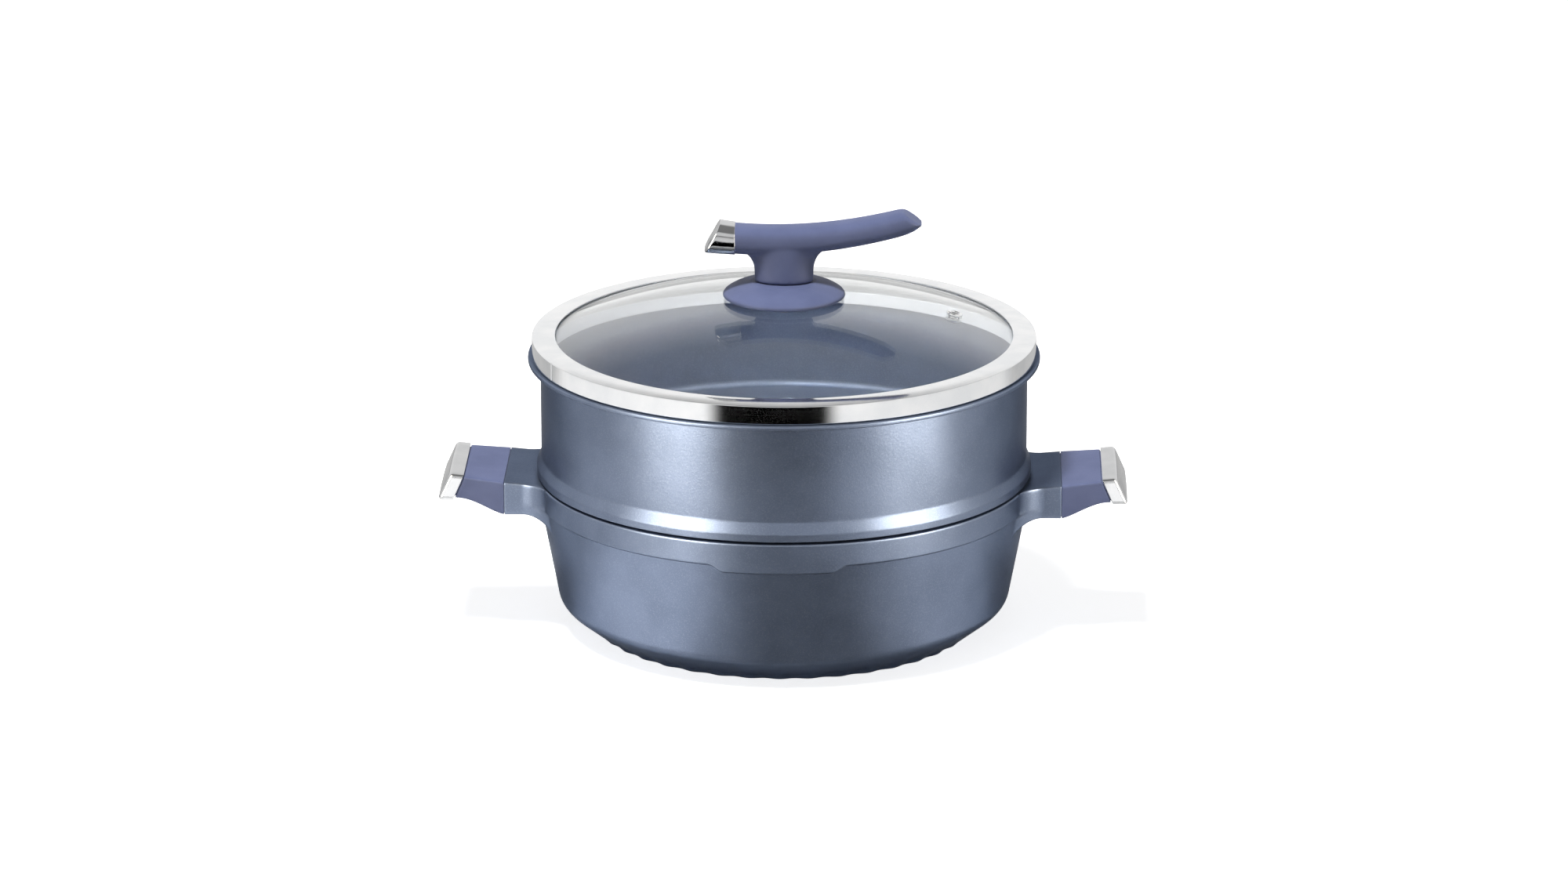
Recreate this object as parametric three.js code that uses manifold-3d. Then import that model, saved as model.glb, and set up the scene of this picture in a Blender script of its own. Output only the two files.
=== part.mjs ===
// A cast casserole with a steamer tier and a domed glass lid.
// Millimetres, +Z up. The origin is the centre of the underside, and the two side handles lie along X.
import * as THREE from 'three';
import { mergeVertices } from 'three/addons/utils/BufferGeometryUtils.js';
import Module from 'manifold-3d';

const wasm = await Module();
wasm.setup();

// Fits shared by the whole set
const boreRadius = 120; // inside radius of both tiers at their rims
const seatGap = 0.3; // left between pieces that rest on or fit into each other
const socketGap = 0.6; // radial play of a tier or the lid in the rim below it

// Casserole
const potHeight = 79.4;
const potWall = 4.2;
const potFloor = 6;
const wallTaper = 9.6; // how much narrower the wall is at its foot than at its top
const wallStart = 16; // height where the straight wall begins
const cornerDrop = 3.5; // height of the rounded lower corner
const cornerInset = 2.4;
const footInset = 17.7; // how far the foot's edge lies inside the wall's foot
const footRise = 2.5; // height of the foot's steep edge
const footFlare = 2.6;
const footScallops = 40;
const scallopDepth = 1.5;
const innerCorner = 14; // radius of the corner inside the pot
const rimThickness = 5.5; // the rim band, measured from the bore
const rimBandHeight = 11.6;
const rimEase = 1.1; // rounding of the rim's top outer edge
const bandStep = 0.8; // height of the step under the rim band
const plaqueDrop = 3.4; // how far the front plaque reaches below the rim band
const plaqueHalfWidth = 27.2;
const plaqueSlope = 7.1; // run of the plaque's slanted ends
const plateRadius = 84;
const plateThickness = 1.6;

// Side handles
const armLength = 14.9; // from the rim band to the grip
const gripLength = 19.8; // along the top
const capLength = 7.4; // along the top
const gripLean = 5.2; // how much further out the grip ends at its underside
const capLean = 1.7; // what the cap adds to that
const handleRise = 4.2; // how much higher the handle's end is than the rim
const armThickness = 17.2;
const endThickness = 12;
const underArch = 1.4; // how much the underside is hollowed under the grip
const armFillet = 7; // height of the blend below the arm
const armBlend = 3; // where that blend begins, outside the rim band
const armWaist = 2; // how much wider the arm still is at the rim band
const armFlare = 46; // half width of the arm's root inside the wall
const armHalfWidth = 30.5;
const gripEndHalfWidth = 28;
const endBow = 2.4; // how much the end bulges, seen from above
const capProud = 0.7;
const tangLength = 11.5;
const tangHalfWidth = 20;
const tangHeight = 6.4;
const tangDrop = 3.4; // how far the tang's axis lies below the rim's top
const tangRoot = 4; // how far the tang runs back into the arm
const webThickness = 3; // what the screw clamps at the end of the tang
const plugHalfWidth = 14;
const plugLength = 4;

// Fasteners
const gripScrewRadius = 2;
const gripScrewHeadRadius = 3.1;
const gripScrewHeadHeight = 2.2;
const gripScrewGrip = 8; // how deep the screw sits in the tang
const gripWasherThickness = 0.8;
const threadGap = 0.2;
const knobScrewRadius = 2.5;
const knobScrewHeadRadius = 4.8;
const knobScrewHeadHeight = 2.8;
const headCrown = 0.7; // share of a screw head's radius that is flat
const slotWidth = 1.2;
const slotDepth = 1.3;

// Steamer
const steamerWall = 3;
const steamerHeight = 61.5; // from the flange's underside to the lip's top
const flangeOut = 2.3; // how far the bottom flange stands out from the wall
const flangeFace = 4.7;
const flangeChamfer = 5.5;
const flangeEase = 1.2; // rounding of the flange's lower edge
const floorHeight = 9.2; // floor above the flange's underside
const floorThickness = 3;
const floorCorner = 4;
const ringDepth = 6.5; // how deep the locating ring reaches into the pot
const ringThickness = 3;
const lipOut = 6.3;
const lipThickness = 2.4;
const lipEase = 0.7;
const holeRadius = 4.5;
const holeSides = 8;
const holeRings = 3;
const holesInFirstRing = 8;
const holeRingStep = 30;

// Lid
const bandOut = 4.3; // how far the steel band stands out from the steamer's wall
const bandHeight = 9.2;
const bandSheet = 0.8;
const bandEase = 1.6;
const bandCrown = 1.0; // how much higher the top ring is inside its outer edge
const ringWidth = 11.7;
const skirtDepth = 6.2; // how deep the skirt reaches into the mouth
const glassThickness = 4;
const domeRise = 21; // dome above the inner edge of the steel ring
const ventInset = 29.6; // from the steel ring's inner edge to the vent
const ventTurn = 3; // degrees behind the line of the handles
const ventBore = 2;
const ventTube = 0.7; // wall of the eyelet
const ventFlange = 3.8; // radius of the eyelet's flange
const ventFlangeHeight = 0.9;

// Knob
const discRadius = 30.75;
const discEdge = 3;
const discUndercut = 1.7;
const discRise = 5; // from the disc's edge to the stem
const stemHalfLength = 14.9;
const stemHalfWidth = 10;
const stemHeight = 15.8;
const barHeight = 14.8; // at the tip cap
const barHalfWidth = 10;
const barSquareness = 2.8; // power of the bar's rounded section
const barSteps = 20;
const tipReach = 40; // from the knob's axis to the tip's lower corner
const tipLength = 14.7;
const tipLean = 7.6;
const noseReach = 72; // from the knob's axis to the raised end
const noseRise = 10.3;
const noseLean = 7.2;
const noseTaper = 0.87; // thickness of the raised end against the tip's
const noseStart = 0.87; // share of the bar where the raised end begins to round off
const noseTip = 0.28; // what the rounding leaves at the very end
const barDip = 6.2; // droop of the bar's line over the stem
const stemFillet = 8;
const stemSink = 2.5; // how far the stem runs into the bar
const tipPlugLength = 6;
const tipPlugHalfWidth = 5;
const tipPlugHeight = 7;
const sealOuterRadius = 12;
const sealInnerRadius = 4.6;
const sealThickness = 1.2;
const knobWasherRadius = 11;
const knobWasherThickness = 1.2;
const insertRadius = 4.2;
const insertLength = 12;
const knobScrewGrip = 9; // how deep the screw sits in the insert

// Facets
const potSegments = 2 * footScallops;
const lidSegments = 60;
const smallSegments = 16;
const curveSteps = 5;

// Radii and heights that follow from the values above
const rimRadius = boreRadius + rimThickness;
const potTopRadius = boreRadius + potWall;
const potFootRadius = potTopRadius - wallTaper;
const footRadius = potFootRadius - footInset;
const steamerBase = potHeight + seatGap;
const steamerRadius = boreRadius + steamerWall;
const steamerTop = steamerBase + steamerHeight;
const floorTop = steamerBase + floorHeight;
const lipRadius = steamerRadius + lipOut;
const lidSeat = steamerTop + seatGap;
const bandRadius = steamerRadius + bandOut;
const bandTop = lidSeat + bandHeight;
const ringInner = bandRadius - ringWidth;
const ventRadius = ringInner - ventInset;
const glassRingTop = bandTop + bandCrown - bandSheet - seatGap;
const domeRadius = (ringInner ** 2 + domeRise ** 2) / (2 * domeRise);
const domeCentre = glassRingTop + domeRise - domeRadius;

// Turns a closed geometry into a solid whose faces point out, ready to be joined or cut.
function solidOf(geometry) {
  const loose = geometry.index ? geometry.toNonIndexed() : geometry.clone();
  loose.deleteAttribute('normal');
  loose.deleteAttribute('uv');
  const welded = mergeVertices(loose, 1e-4);
  const points = welded.attributes.position.array;
  const index = welded.index.array;
  const corner = (k) => new THREE.Vector3().fromArray(points, 3 * index[k]);
  const triangles = [];
  let volume = 0;
  for (let k = 0; k < index.length; k += 3) {
    const [a, b, c] = [index[k], index[k + 1], index[k + 2]];
    if (a !== b && b !== c && c !== a) {
      triangles.push([a, b, c]);
      volume += corner(k).dot(corner(k + 1).cross(corner(k + 2)));
    }
  }
  const outward = volume < 0 ? triangles.map(([a, b, c]) => [a, c, b]) : triangles;
  return new wasm.Manifold(new wasm.Mesh({
    numProp: 3,
    vertProperties: new Float32Array(points),
    triVerts: new Uint32Array(outward.flat()),
  }));
}

// Turns a solid back into a geometry.
function geometryOf(solid) {
  const mesh = solid.getMesh();
  const geometry = new THREE.BufferGeometry();
  geometry.setAttribute('position', new THREE.BufferAttribute(new Float32Array(mesh.vertProperties), 3));
  geometry.setIndex(new THREE.BufferAttribute(new Uint32Array(mesh.triVerts), 1));
  return geometry;
}

// A profile of [radius, height] pairs turned about +Z.
function turned(profile, segments) {
  const points = profile.map(([radius, height]) => new THREE.Vector2(radius, height));
  return new THREE.LatheGeometry(points, segments).rotateX(Math.PI / 2);
}

// A closed ring of rectangular section about +Z.
function ringOf(inner, outer, low, high) {
  return turned([[inner, low], [outer, low], [outer, high], [inner, high], [inner, low]], smallSegments);
}

// A round rod along +Z.
function rodZ(radius, low, high, segments) {
  return new THREE.CylinderGeometry(radius, radius, high - low, segments)
    .rotateX(Math.PI / 2)
    .translate(0, 0, (low + high) / 2);
}

// A round rod along the axis of the right-hand tang.
function rodX(radius, start, end) {
  return new THREE.CylinderGeometry(radius, radius, end - start, smallSegments)
    .rotateZ(Math.PI / 2)
    .translate((start + end) / 2, 0, tangAxis);
}

// A box between two corners.
function boxOf(low, high) {
  const size = high.map((value, k) => value - low[k]);
  const centre = high.map((value, k) => (value + low[k]) / 2);
  return new THREE.BoxGeometry(...size).translate(...centre);
}

// A side view in X and Z, carried along Y to both sides.
function extrudedAcross(shape, halfWidth) {
  const options = { depth: 2 * halfWidth, bevelEnabled: false, curveSegments: curveSteps };
  return new THREE.ExtrudeGeometry(shape, options).translate(0, 0, -halfWidth).rotateX(Math.PI / 2);
}

// A plan view in X and Y, carried from one height to another.
function extrudedUp(shape, low, high) {
  const options = { depth: high - low, bevelEnabled: false, curveSegments: curveSteps };
  return new THREE.ExtrudeGeometry(shape, options).translate(0, 0, low);
}

// Points on a quarter-round corner, from one angle to another, as [radius, height] pairs.
function cornerArc(centreRadius, centreHeight, radius, from, to, steps) {
  return Array.from({ length: steps + 1 }, (_, k) => {
    const angle = THREE.MathUtils.degToRad(from + ((to - from) * k) / steps);
    return [centreRadius + radius * Math.cos(angle), centreHeight + radius * Math.sin(angle)];
  });
}

// A skin over rings of points with the same count, closed by a fan at each end.
function lofted(rings) {
  const count = rings[0].length;
  const mean = (ring, axis) => ring.reduce((sum, point) => sum + point[axis], 0) / count;
  const middle = (ring) => [mean(ring, 0), mean(ring, 1), mean(ring, 2)];
  const points = [...rings.flat(), middle(rings[0]), middle(rings[rings.length - 1])];
  const [first, last] = [points.length - 2, points.length - 1];
  const index = [];
  for (let k = 0; k < count; k += 1) {
    const next = (k + 1) % count;
    for (let ring = 0; ring + 1 < rings.length; ring += 1) {
      const [low, high] = [ring * count, (ring + 1) * count];
      index.push(low + k, low + next, high + next, low + k, high + next, high + k);
    }
    const end = (rings.length - 1) * count;
    index.push(first, next, k, last, end + k, end + next);
  }
  const geometry = new THREE.BufferGeometry();
  geometry.setAttribute('position', new THREE.Float32BufferAttribute(points.flat(), 3));
  geometry.setIndex(index);
  return geometry;
}

// Points round a square of half side 1 with rounded corners: a higher power is squarer.
function roundedRing(count, power) {
  const soften = (value) => Math.sign(value) * Math.abs(value) ** (2 / power);
  return Array.from({ length: count }, (_, k) => {
    const angle = (2 * Math.PI * (k + 0.5)) / count;
    return [soften(Math.cos(angle)), soften(Math.sin(angle))];
  });
}

// Points round an oval at one height.
function ovalRing(halfLength, halfWidth, height) {
  return roundedRing(2 * smallSegments, 2).map(([x, y]) => [halfLength * x, halfWidth * y, height]);
}

function finish(color, roughness, metalness) {
  return new THREE.MeshStandardMaterial({ color, roughness, metalness });
}

function piece(name, solid, material) {
  const mesh = new THREE.Mesh(geometryOf(solid), material);
  mesh.name = name;
  return mesh;
}

const slate = () => finish(0x56607a, 0.42, 0.6);
const lavender = () => finish(0x666b96, 0.7, 0);
const chrome = () => finish(0xd8dade, 0.12, 1);
const polished = () => finish(0xcfd2d4, 0.15, 1);
const plain = () => finish(0xa9abad, 0.4, 1);
const silicone = () => finish(0xd9dadb, 0.7, 0);

// The handle as seen from the side: straight rising top, leaning end, hollowed underside, blended root.
const armEnd = rimRadius + armLength;
const gripEnd = armEnd + gripLength;
const handleEnd = gripEnd + capLength;
const rootStart = boreRadius - innerCorner;
const topSlope = handleRise / (handleEnd - rimRadius);
const topAt = (x) => potHeight + topSlope * Math.max(0, x - rimRadius);
const armUnder = topAt(armEnd) - armThickness;
const endUnder = topAt(handleEnd) - endThickness;
const endReach = handleEnd + gripLean + capLean;

function handleSide(proud) {
  const side = new THREE.Shape();
  side.moveTo(rootStart, potHeight);
  side.lineTo(rimRadius, potHeight + proud);
  side.lineTo(handleEnd, topAt(handleEnd) + proud);
  side.lineTo(endReach, endUnder - proud);
  side.quadraticCurveTo((armEnd + endReach) / 2, (armUnder + endUnder) / 2 + 2 * underArch - proud,
    armEnd, armUnder - proud);
  side.lineTo(rimRadius + armBlend, armUnder - proud);
  side.quadraticCurveTo(potTopRadius, armUnder, potTopRadius - rimEase, armUnder - armFillet);
  side.lineTo(rootStart, armUnder - armFillet);
  side.closePath();
  return side;
}

function handlePlan(proud) {
  const endHalfWidth = gripEndHalfWidth + proud;
  const plan = new THREE.Shape();
  plan.moveTo(rootStart, -armFlare);
  plan.quadraticCurveTo(rimRadius, -armHalfWidth - armWaist, armEnd, -armHalfWidth - proud);
  plan.lineTo(gripEnd, -endHalfWidth);
  plan.lineTo(endReach - endBow, -endHalfWidth);
  plan.quadraticCurveTo(endReach + endBow, 0, endReach - endBow, endHalfWidth);
  plan.lineTo(gripEnd, endHalfWidth);
  plan.lineTo(armEnd, armHalfWidth + proud);
  plan.quadraticCurveTo(rimRadius, armHalfWidth + armWaist, rootStart, armFlare);
  plan.closePath();
  return plan;
}

// The handle's outer form, from inside the wall to its end.
function handleForm(proud) {
  const across = solidOf(extrudedAcross(handleSide(proud), 2 * armFlare));
  const up = solidOf(extrudedUp(handlePlan(proud), 0, 2 * potHeight));
  return across.intersect(up);
}

// A slab of the handle between two joints, each given by where it meets the top and how far it leans.
function handleSlab(start, startLean, end, endLean) {
  const depth = topAt(handleEnd) - endUnder;
  const [low, high] = [endUnder - 2 * depth, endUnder + 3 * depth];
  const leanAt = (x, lean, height) => x + (lean * (topAt(handleEnd) - height)) / depth;
  const slab = new THREE.Shape();
  slab.moveTo(leanAt(start, startLean, low), low);
  slab.lineTo(leanAt(end, endLean, low), low);
  slab.lineTo(leanAt(end, endLean, high), high);
  slab.lineTo(leanAt(start, startLean, high), high);
  slab.closePath();
  return solidOf(extrudedAcross(slab, 2 * armFlare));
}

const tangAxis = potHeight - tangDrop;
const tangEnd = armEnd + tangLength;
const webEnd = tangEnd + seatGap + webThickness;
const screwSeat = webEnd + gripWasherThickness + 2 * seatGap;
const screwTip = tangEnd - gripScrewGrip;

// A block centred on the tang's axis, grown by a clearance.
function tangBlock(start, end, halfWidth, grow) {
  const half = tangHeight / 2 + grow;
  return solidOf(boxOf(
    [start, -halfWidth - grow, tangAxis - half],
    [end, halfWidth + grow, tangAxis + half],
  ));
}

function armWithTang() {
  const arm = handleForm(0).intersect(handleSlab(rootStart, 0, armEnd, 0));
  const tang = tangBlock(armEnd - tangRoot, tangEnd, tangHalfWidth, 0);
  const hole = solidOf(rodX(gripScrewRadius + threadGap, screwTip - seatGap, tangEnd + seatGap));
  return geometryOf(arm.add(tang).subtract(hole));
}

function grip() {
  const sleeve = handleForm(0).intersect(handleSlab(armEnd + seatGap, 0, gripEnd, gripLean));
  const pocket = tangBlock(armEnd, tangEnd + seatGap, tangHalfWidth, seatGap);
  const hole = solidOf(rodX(gripScrewRadius + threadGap, tangEnd, handleEnd));
  const socket = tangBlock(webEnd, endReach, plugHalfWidth, seatGap);
  return sleeve.subtract(pocket).subtract(hole).subtract(socket);
}

function endCap() {
  const lid = handleForm(capProud).intersect(handleSlab(gripEnd + seatGap, gripLean, 2 * handleEnd, 0));
  const plug = tangBlock(gripEnd - plugLength + gripLean / 2, handleEnd, plugHalfWidth, 0);
  const room = gripScrewHeadRadius + 2 * seatGap;
  const recess = solidOf(rodX(room, webEnd, screwSeat + gripScrewHeadHeight + seatGap));
  return lid.add(plug).subtract(recess);
}

// A pan-head screw along +Z with its head's seat at zero and its shank pointing up, slotted for a driver.
function panScrew(radius, length, headRadius, headHeight) {
  const shank = solidOf(rodZ(radius, -headHeight / 2, length, smallSegments));
  const head = solidOf(turned([
    [0, 0],
    [headRadius, 0],
    [headRadius, -headHeight / 2],
    [headRadius * headCrown, -headHeight],
    [0, -headHeight],
  ], smallSegments));
  const slot = solidOf(boxOf(
    [-headRadius, -slotWidth / 2, -2 * headHeight],
    [headRadius, slotWidth / 2, slotDepth - headHeight],
  ));
  return shank.add(head).subtract(slot);
}

// The casserole: outer form, arms and plaque joined, then hollowed.
function potForm() {
  const profile = [
    [0, 0],
    [footRadius, 0],
    [footRadius + footFlare, footRise],
    [potFootRadius - cornerInset, wallStart - cornerDrop],
    [potFootRadius - cornerInset / 4, wallStart - cornerDrop / 2],
    [potFootRadius, wallStart],
    [potTopRadius, potHeight - rimBandHeight - bandStep],
    [rimRadius, potHeight - rimBandHeight],
    [rimRadius, potHeight - rimEase],
    [rimRadius - rimEase, potHeight],
    [0, potHeight],
  ];
  const fluted = [1, 2]; // the two points of the profile that make the foot's edge
  const geometry = turned(profile, potSegments);
  const position = geometry.attributes.position;
  for (let k = 0; k < position.count; k += 1) {
    const between = Math.floor(k / profile.length) % 2 === 1;
    if (between && fluted.includes(k % profile.length)) {
      const radius = Math.hypot(position.getX(k), position.getY(k));
      const shrink = (radius - scallopDepth) / radius;
      position.setXY(k, position.getX(k) * shrink, position.getY(k) * shrink);
    }
  }
  return solidOf(geometry);
}

function potCavity() {
  const insideFoot = potFootRadius - potWall;
  const cornerCentre = insideFoot - innerCorner;
  const corner = cornerArc(cornerCentre, potFloor + innerCorner, innerCorner, -90, 0, curveSteps - 1);
  return solidOf(turned([
    [0, potFloor],
    ...corner,
    [boreRadius, potHeight - rimBandHeight],
    [boreRadius, 2 * potHeight],
    [0, 2 * potHeight],
  ], potSegments));
}

function plaque() {
  const bandFoot = potHeight - rimBandHeight;
  const face = new THREE.Shape();
  face.moveTo(-plaqueHalfWidth - plaqueSlope, bandFoot + bandStep);
  face.lineTo(-plaqueHalfWidth, bandFoot - plaqueDrop);
  face.lineTo(plaqueHalfWidth, bandFoot - plaqueDrop);
  face.lineTo(plaqueHalfWidth + plaqueSlope, bandFoot + bandStep);
  face.closePath();
  const block = solidOf(extrudedAcross(face, rimRadius).translate(0, -rimRadius, 0));
  const drum = rodZ(rimRadius, bandFoot - 2 * plaqueDrop, bandFoot + bandStep, potSegments);
  return block.intersect(solidOf(drum.rotateZ(Math.PI / 2)));
}

function casseroleBody() {
  const arm = armWithTang();
  const plateRoof = plateThickness + seatGap;
  const recess = solidOf(rodZ(plateRadius + seatGap, -plateRoof, plateRoof, lidSegments));
  return potForm()
    .add(plaque())
    .add(solidOf(arm))
    .add(solidOf(arm.clone().rotateZ(Math.PI)))
    .subtract(potCavity())
    .subtract(recess);
}

function steamerInsert() {
  const ringRadius = boreRadius - socketGap;
  const flangeRadius = steamerRadius + flangeOut;
  const lipFoot = steamerTop - lipThickness;
  const form = solidOf(turned([
    [0, floorTop - floorThickness],
    [ringRadius - ringThickness, floorTop - floorThickness],
    [ringRadius - ringThickness, steamerBase - ringDepth],
    [ringRadius, steamerBase - ringDepth],
    [ringRadius, steamerBase],
    [flangeRadius - flangeEase, steamerBase],
    [flangeRadius, steamerBase + flangeEase],
    [flangeRadius, steamerBase + flangeFace],
    [steamerRadius, steamerBase + flangeFace + flangeChamfer],
    [steamerRadius, lipFoot],
    [lipRadius - lipEase, lipFoot],
    [lipRadius, lipFoot + lipEase],
    [lipRadius, steamerTop - lipEase],
    [lipRadius - lipEase, steamerTop],
    [boreRadius, steamerTop],
    [boreRadius, floorTop + floorCorner],
    [boreRadius - floorCorner, floorTop],
    [0, floorTop],
  ], lidSegments));
  const drill = rodZ(holeRadius, floorTop - 2 * floorThickness, floorTop + floorThickness, holeSides);
  let perforated = form.subtract(solidOf(drill));
  for (let ring = 1; ring <= holeRings; ring += 1) {
    const count = holesInFirstRing * ring;
    for (let k = 0; k < count; k += 1) {
      const angle = (2 * Math.PI * k) / count;
      const hole = drill.clone().translate(ring * holeRingStep, 0, 0).rotateZ(angle);
      perforated = perforated.subtract(solidOf(hole));
    }
  }
  return perforated;
}

// Height of the dome's outer or inner face at a radius.
function domeHeight(radius, depth) {
  return domeCentre + Math.sqrt((domeRadius - depth) ** 2 - radius ** 2);
}

// A point on the dome's face as an angle from its axis.
const domeAngle = (radius, depth) => Math.asin(radius / (domeRadius - depth));

function lidGlass() {
  const edge = bandRadius - bandSheet - seatGap;
  const seat = lidSeat + bandSheet + seatGap;
  const under = Math.sqrt((domeRadius - glassThickness) ** 2 - (seat - domeCentre) ** 2);
  const steps = curveSteps;
  const face = (reach, depth) => Array.from({ length: steps + 1 }, (_, k) => {
    const angle = (domeAngle(reach, depth) * k) / steps;
    return [(domeRadius - depth) * Math.sin(angle), domeCentre + (domeRadius - depth) * Math.cos(angle)];
  });
  const outer = face(edge, 0);
  const inner = face(Math.min(under, edge - seatGap), glassThickness);
  const shell = solidOf(turned([...inner, [edge, seat], ...outer.reverse()], lidSegments));
  const screwHole = solidOf(rodZ(sealInnerRadius, lidSeat, 2 * lidSeat, smallSegments));
  const ventReach = 2 * glassThickness;
  const ventHole = rodZ(ventBore + ventTube + seatGap, -ventReach, ventReach, smallSegments);
  return shell.subtract(screwHole).subtract(solidOf(placedOnDome(ventHole)));
}

// Stands a geometry on the dome at the vent, its own +Z along the glass's normal.
function placedOnDome(geometry) {
  return geometry
    .rotateY(domeAngle(ventRadius, 0))
    .translate(ventRadius, 0, domeHeight(ventRadius, 0))
    .rotateZ(THREE.MathUtils.degToRad(ventTurn));
}

function ventGrommet() {
  const [low, high] = [-glassThickness - seatGap, seatGap];
  const tube = ventBore + ventTube;
  return solidOf(placedOnDome(turned([
    [ventBore, low - ventFlangeHeight],
    [ventFlange, low - ventFlangeHeight],
    [ventFlange, low],
    [tube, low],
    [tube, high],
    [ventFlange, high],
    [ventFlange - ventFlangeHeight / 2, high + ventFlangeHeight],
    [ventBore, high + ventFlangeHeight],
    [ventBore, low - ventFlangeHeight],
  ], smallSegments)));
}

// One strip of steel: ring over the glass edge, outer wall, seat under it, skirt in the steamer's mouth.
function lidRimBand() {
  const skirt = boreRadius - socketGap;
  const crown = bandTop + bandCrown;
  const crownRadius = (ringInner + bandRadius) / 2;
  const outerCorner = cornerArc(bandRadius - bandEase, bandTop - bandEase, bandEase, 90, 0, 2);
  return solidOf(turned([
    [ringInner, crown],
    [crownRadius, crown],
    ...outerCorner,
    [bandRadius, lidSeat],
    [skirt, lidSeat],
    [skirt, lidSeat - skirtDepth],
    [skirt - bandSheet, lidSeat - skirtDepth],
    [skirt - bandSheet, lidSeat + bandSheet],
    [bandRadius - bandSheet, lidSeat + bandSheet],
    [bandRadius - bandSheet, bandTop - bandEase],
    [crownRadius, crown - bandSheet],
    [ringInner, crown - bandSheet],
    [ringInner, crown],
  ], lidSegments));
}

// Heights of the knob's stack, from the top of the dome upwards and downwards.
const domeTop = domeCentre + domeRadius;
const discFoot = domeHeight(discRadius - discUndercut, 0) + seatGap;
const stemFoot = discFoot + discEdge + discRise + seatGap;
const barFoot = stemFoot + stemHeight;
const lowerSealTop = domeHeight(sealOuterRadius, glassThickness) - 2 * seatGap;
const washerTop = lowerSealTop - sealThickness - seatGap;
const knobScrewSeat = washerTop - knobWasherThickness - seatGap;
const insertFoot = stemFoot + seatGap;
const knobScrewLength = insertFoot + knobScrewGrip - knobScrewSeat;

function knobBaseDisc() {
  const shoulder = discFoot + discEdge;
  const top = shoulder + discRise;
  const underside = domeTop + seatGap;
  const sealRecess = sealOuterRadius + seatGap;
  const sealRoof = underside + sealThickness + seatGap;
  return solidOf(turned([
    [knobScrewRadius + seatGap, sealRoof],
    [sealRecess, sealRoof],
    [sealRecess, underside],
    [discRadius - discUndercut, discFoot],
    [discRadius, discFoot + discEdge / 3],
    [discRadius, shoulder - discEdge / 3],
    [discRadius - discUndercut, shoulder],
    [stemHalfLength + discUndercut, top],
    [knobScrewRadius + seatGap, top],
    [knobScrewRadius + seatGap, sealRoof],
  ], 2 * smallSegments));
}

// The bar: rounded sections carried along a drooping line, leaning inwards at both ends.
function barForm() {
  const middle = barFoot + barHeight / 2;
  const line = new THREE.QuadraticBezierCurve(
    new THREE.Vector2(tipLean / 2 - tipReach, middle),
    new THREE.Vector2(stemHalfLength, middle - barDip),
    new THREE.Vector2(noseReach - noseLean / 2, middle + noseRise),
  );
  const rings = [];
  for (let k = 0; k <= barSteps; k += 1) {
    const along = k / barSteps;
    const centre = line.getPoint(along);
    const taper = 1 - (1 - noseTaper) * along;
    const close = Math.sqrt(Math.max(0, 1 - Math.max(0, (along - noseStart) / (1 - noseStart)) ** 2));
    const rounding = noseTip + (1 - noseTip) * close;
    const lean = THREE.MathUtils.lerp(tipLean, -noseLean, along) / 2;
    const half = (barHeight / 2) * taper * rounding;
    const width = barHalfWidth * taper * rounding;
    rings.push(roundedRing(smallSegments, barSquareness).map(([across, up]) => [
      centre.x + lean * up * rounding,
      width * across,
      centre.y + half * up,
    ]));
  }
  return solidOf(lofted(rings));
}

// The oval stem, flaring along the bar where it runs into it.
function stemForm() {
  const rings = [];
  for (let k = 0; k <= curveSteps; k += 1) {
    const angle = ((Math.PI / 2) * k) / curveSteps;
    const flare = stemFillet * (1 - Math.cos(angle));
    const height = barFoot + stemSink - stemFillet + stemFillet * Math.sin(angle);
    rings.push(ovalRing(stemHalfLength + flare, stemHalfWidth, height));
  }
  return solidOf(lofted([ovalRing(stemHalfLength, stemHalfWidth, stemFoot), ...rings]));
}

const tipJoint = -tipReach + tipLength;
const tipPlugAxis = barFoot + barHeight / 2;

// A block on the bar's axis behind the tip, grown by a clearance.
function tipPlug(end, grow) {
  const half = tipPlugHeight / 2 + grow;
  return solidOf(boxOf(
    [tipJoint - tipPlugLength, -tipPlugHalfWidth - grow, tipPlugAxis - half],
    [end, tipPlugHalfWidth + grow, tipPlugAxis + half],
  ));
}

function knobHandle() {
  const beyond = 2 * noseReach;
  const body = solidOf(boxOf([tipJoint + seatGap, -beyond, 0], [beyond, beyond, 2 * barFoot]));
  const insertHole = solidOf(rodZ(insertRadius + threadGap, stemFoot - seatGap,
    insertFoot + insertLength + seatGap, smallSegments));
  return barForm()
    .intersect(body)
    .add(stemForm())
    .subtract(tipPlug(tipJoint + tipPlugLength + seatGap, seatGap))
    .subtract(insertHole);
}

function knobTipCap() {
  const beyond = 2 * noseReach;
  const end = solidOf(boxOf([-beyond, -beyond, 0], [tipJoint, beyond, 2 * barFoot]));
  return barForm().intersect(end).add(tipPlug(tipJoint + tipPlugLength, 0));
}

function knobScrew() {
  const screw = panScrew(knobScrewRadius, knobScrewLength, knobScrewHeadRadius, knobScrewHeadHeight);
  return solidOf(geometryOf(screw).translate(0, 0, knobScrewSeat));
}

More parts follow.
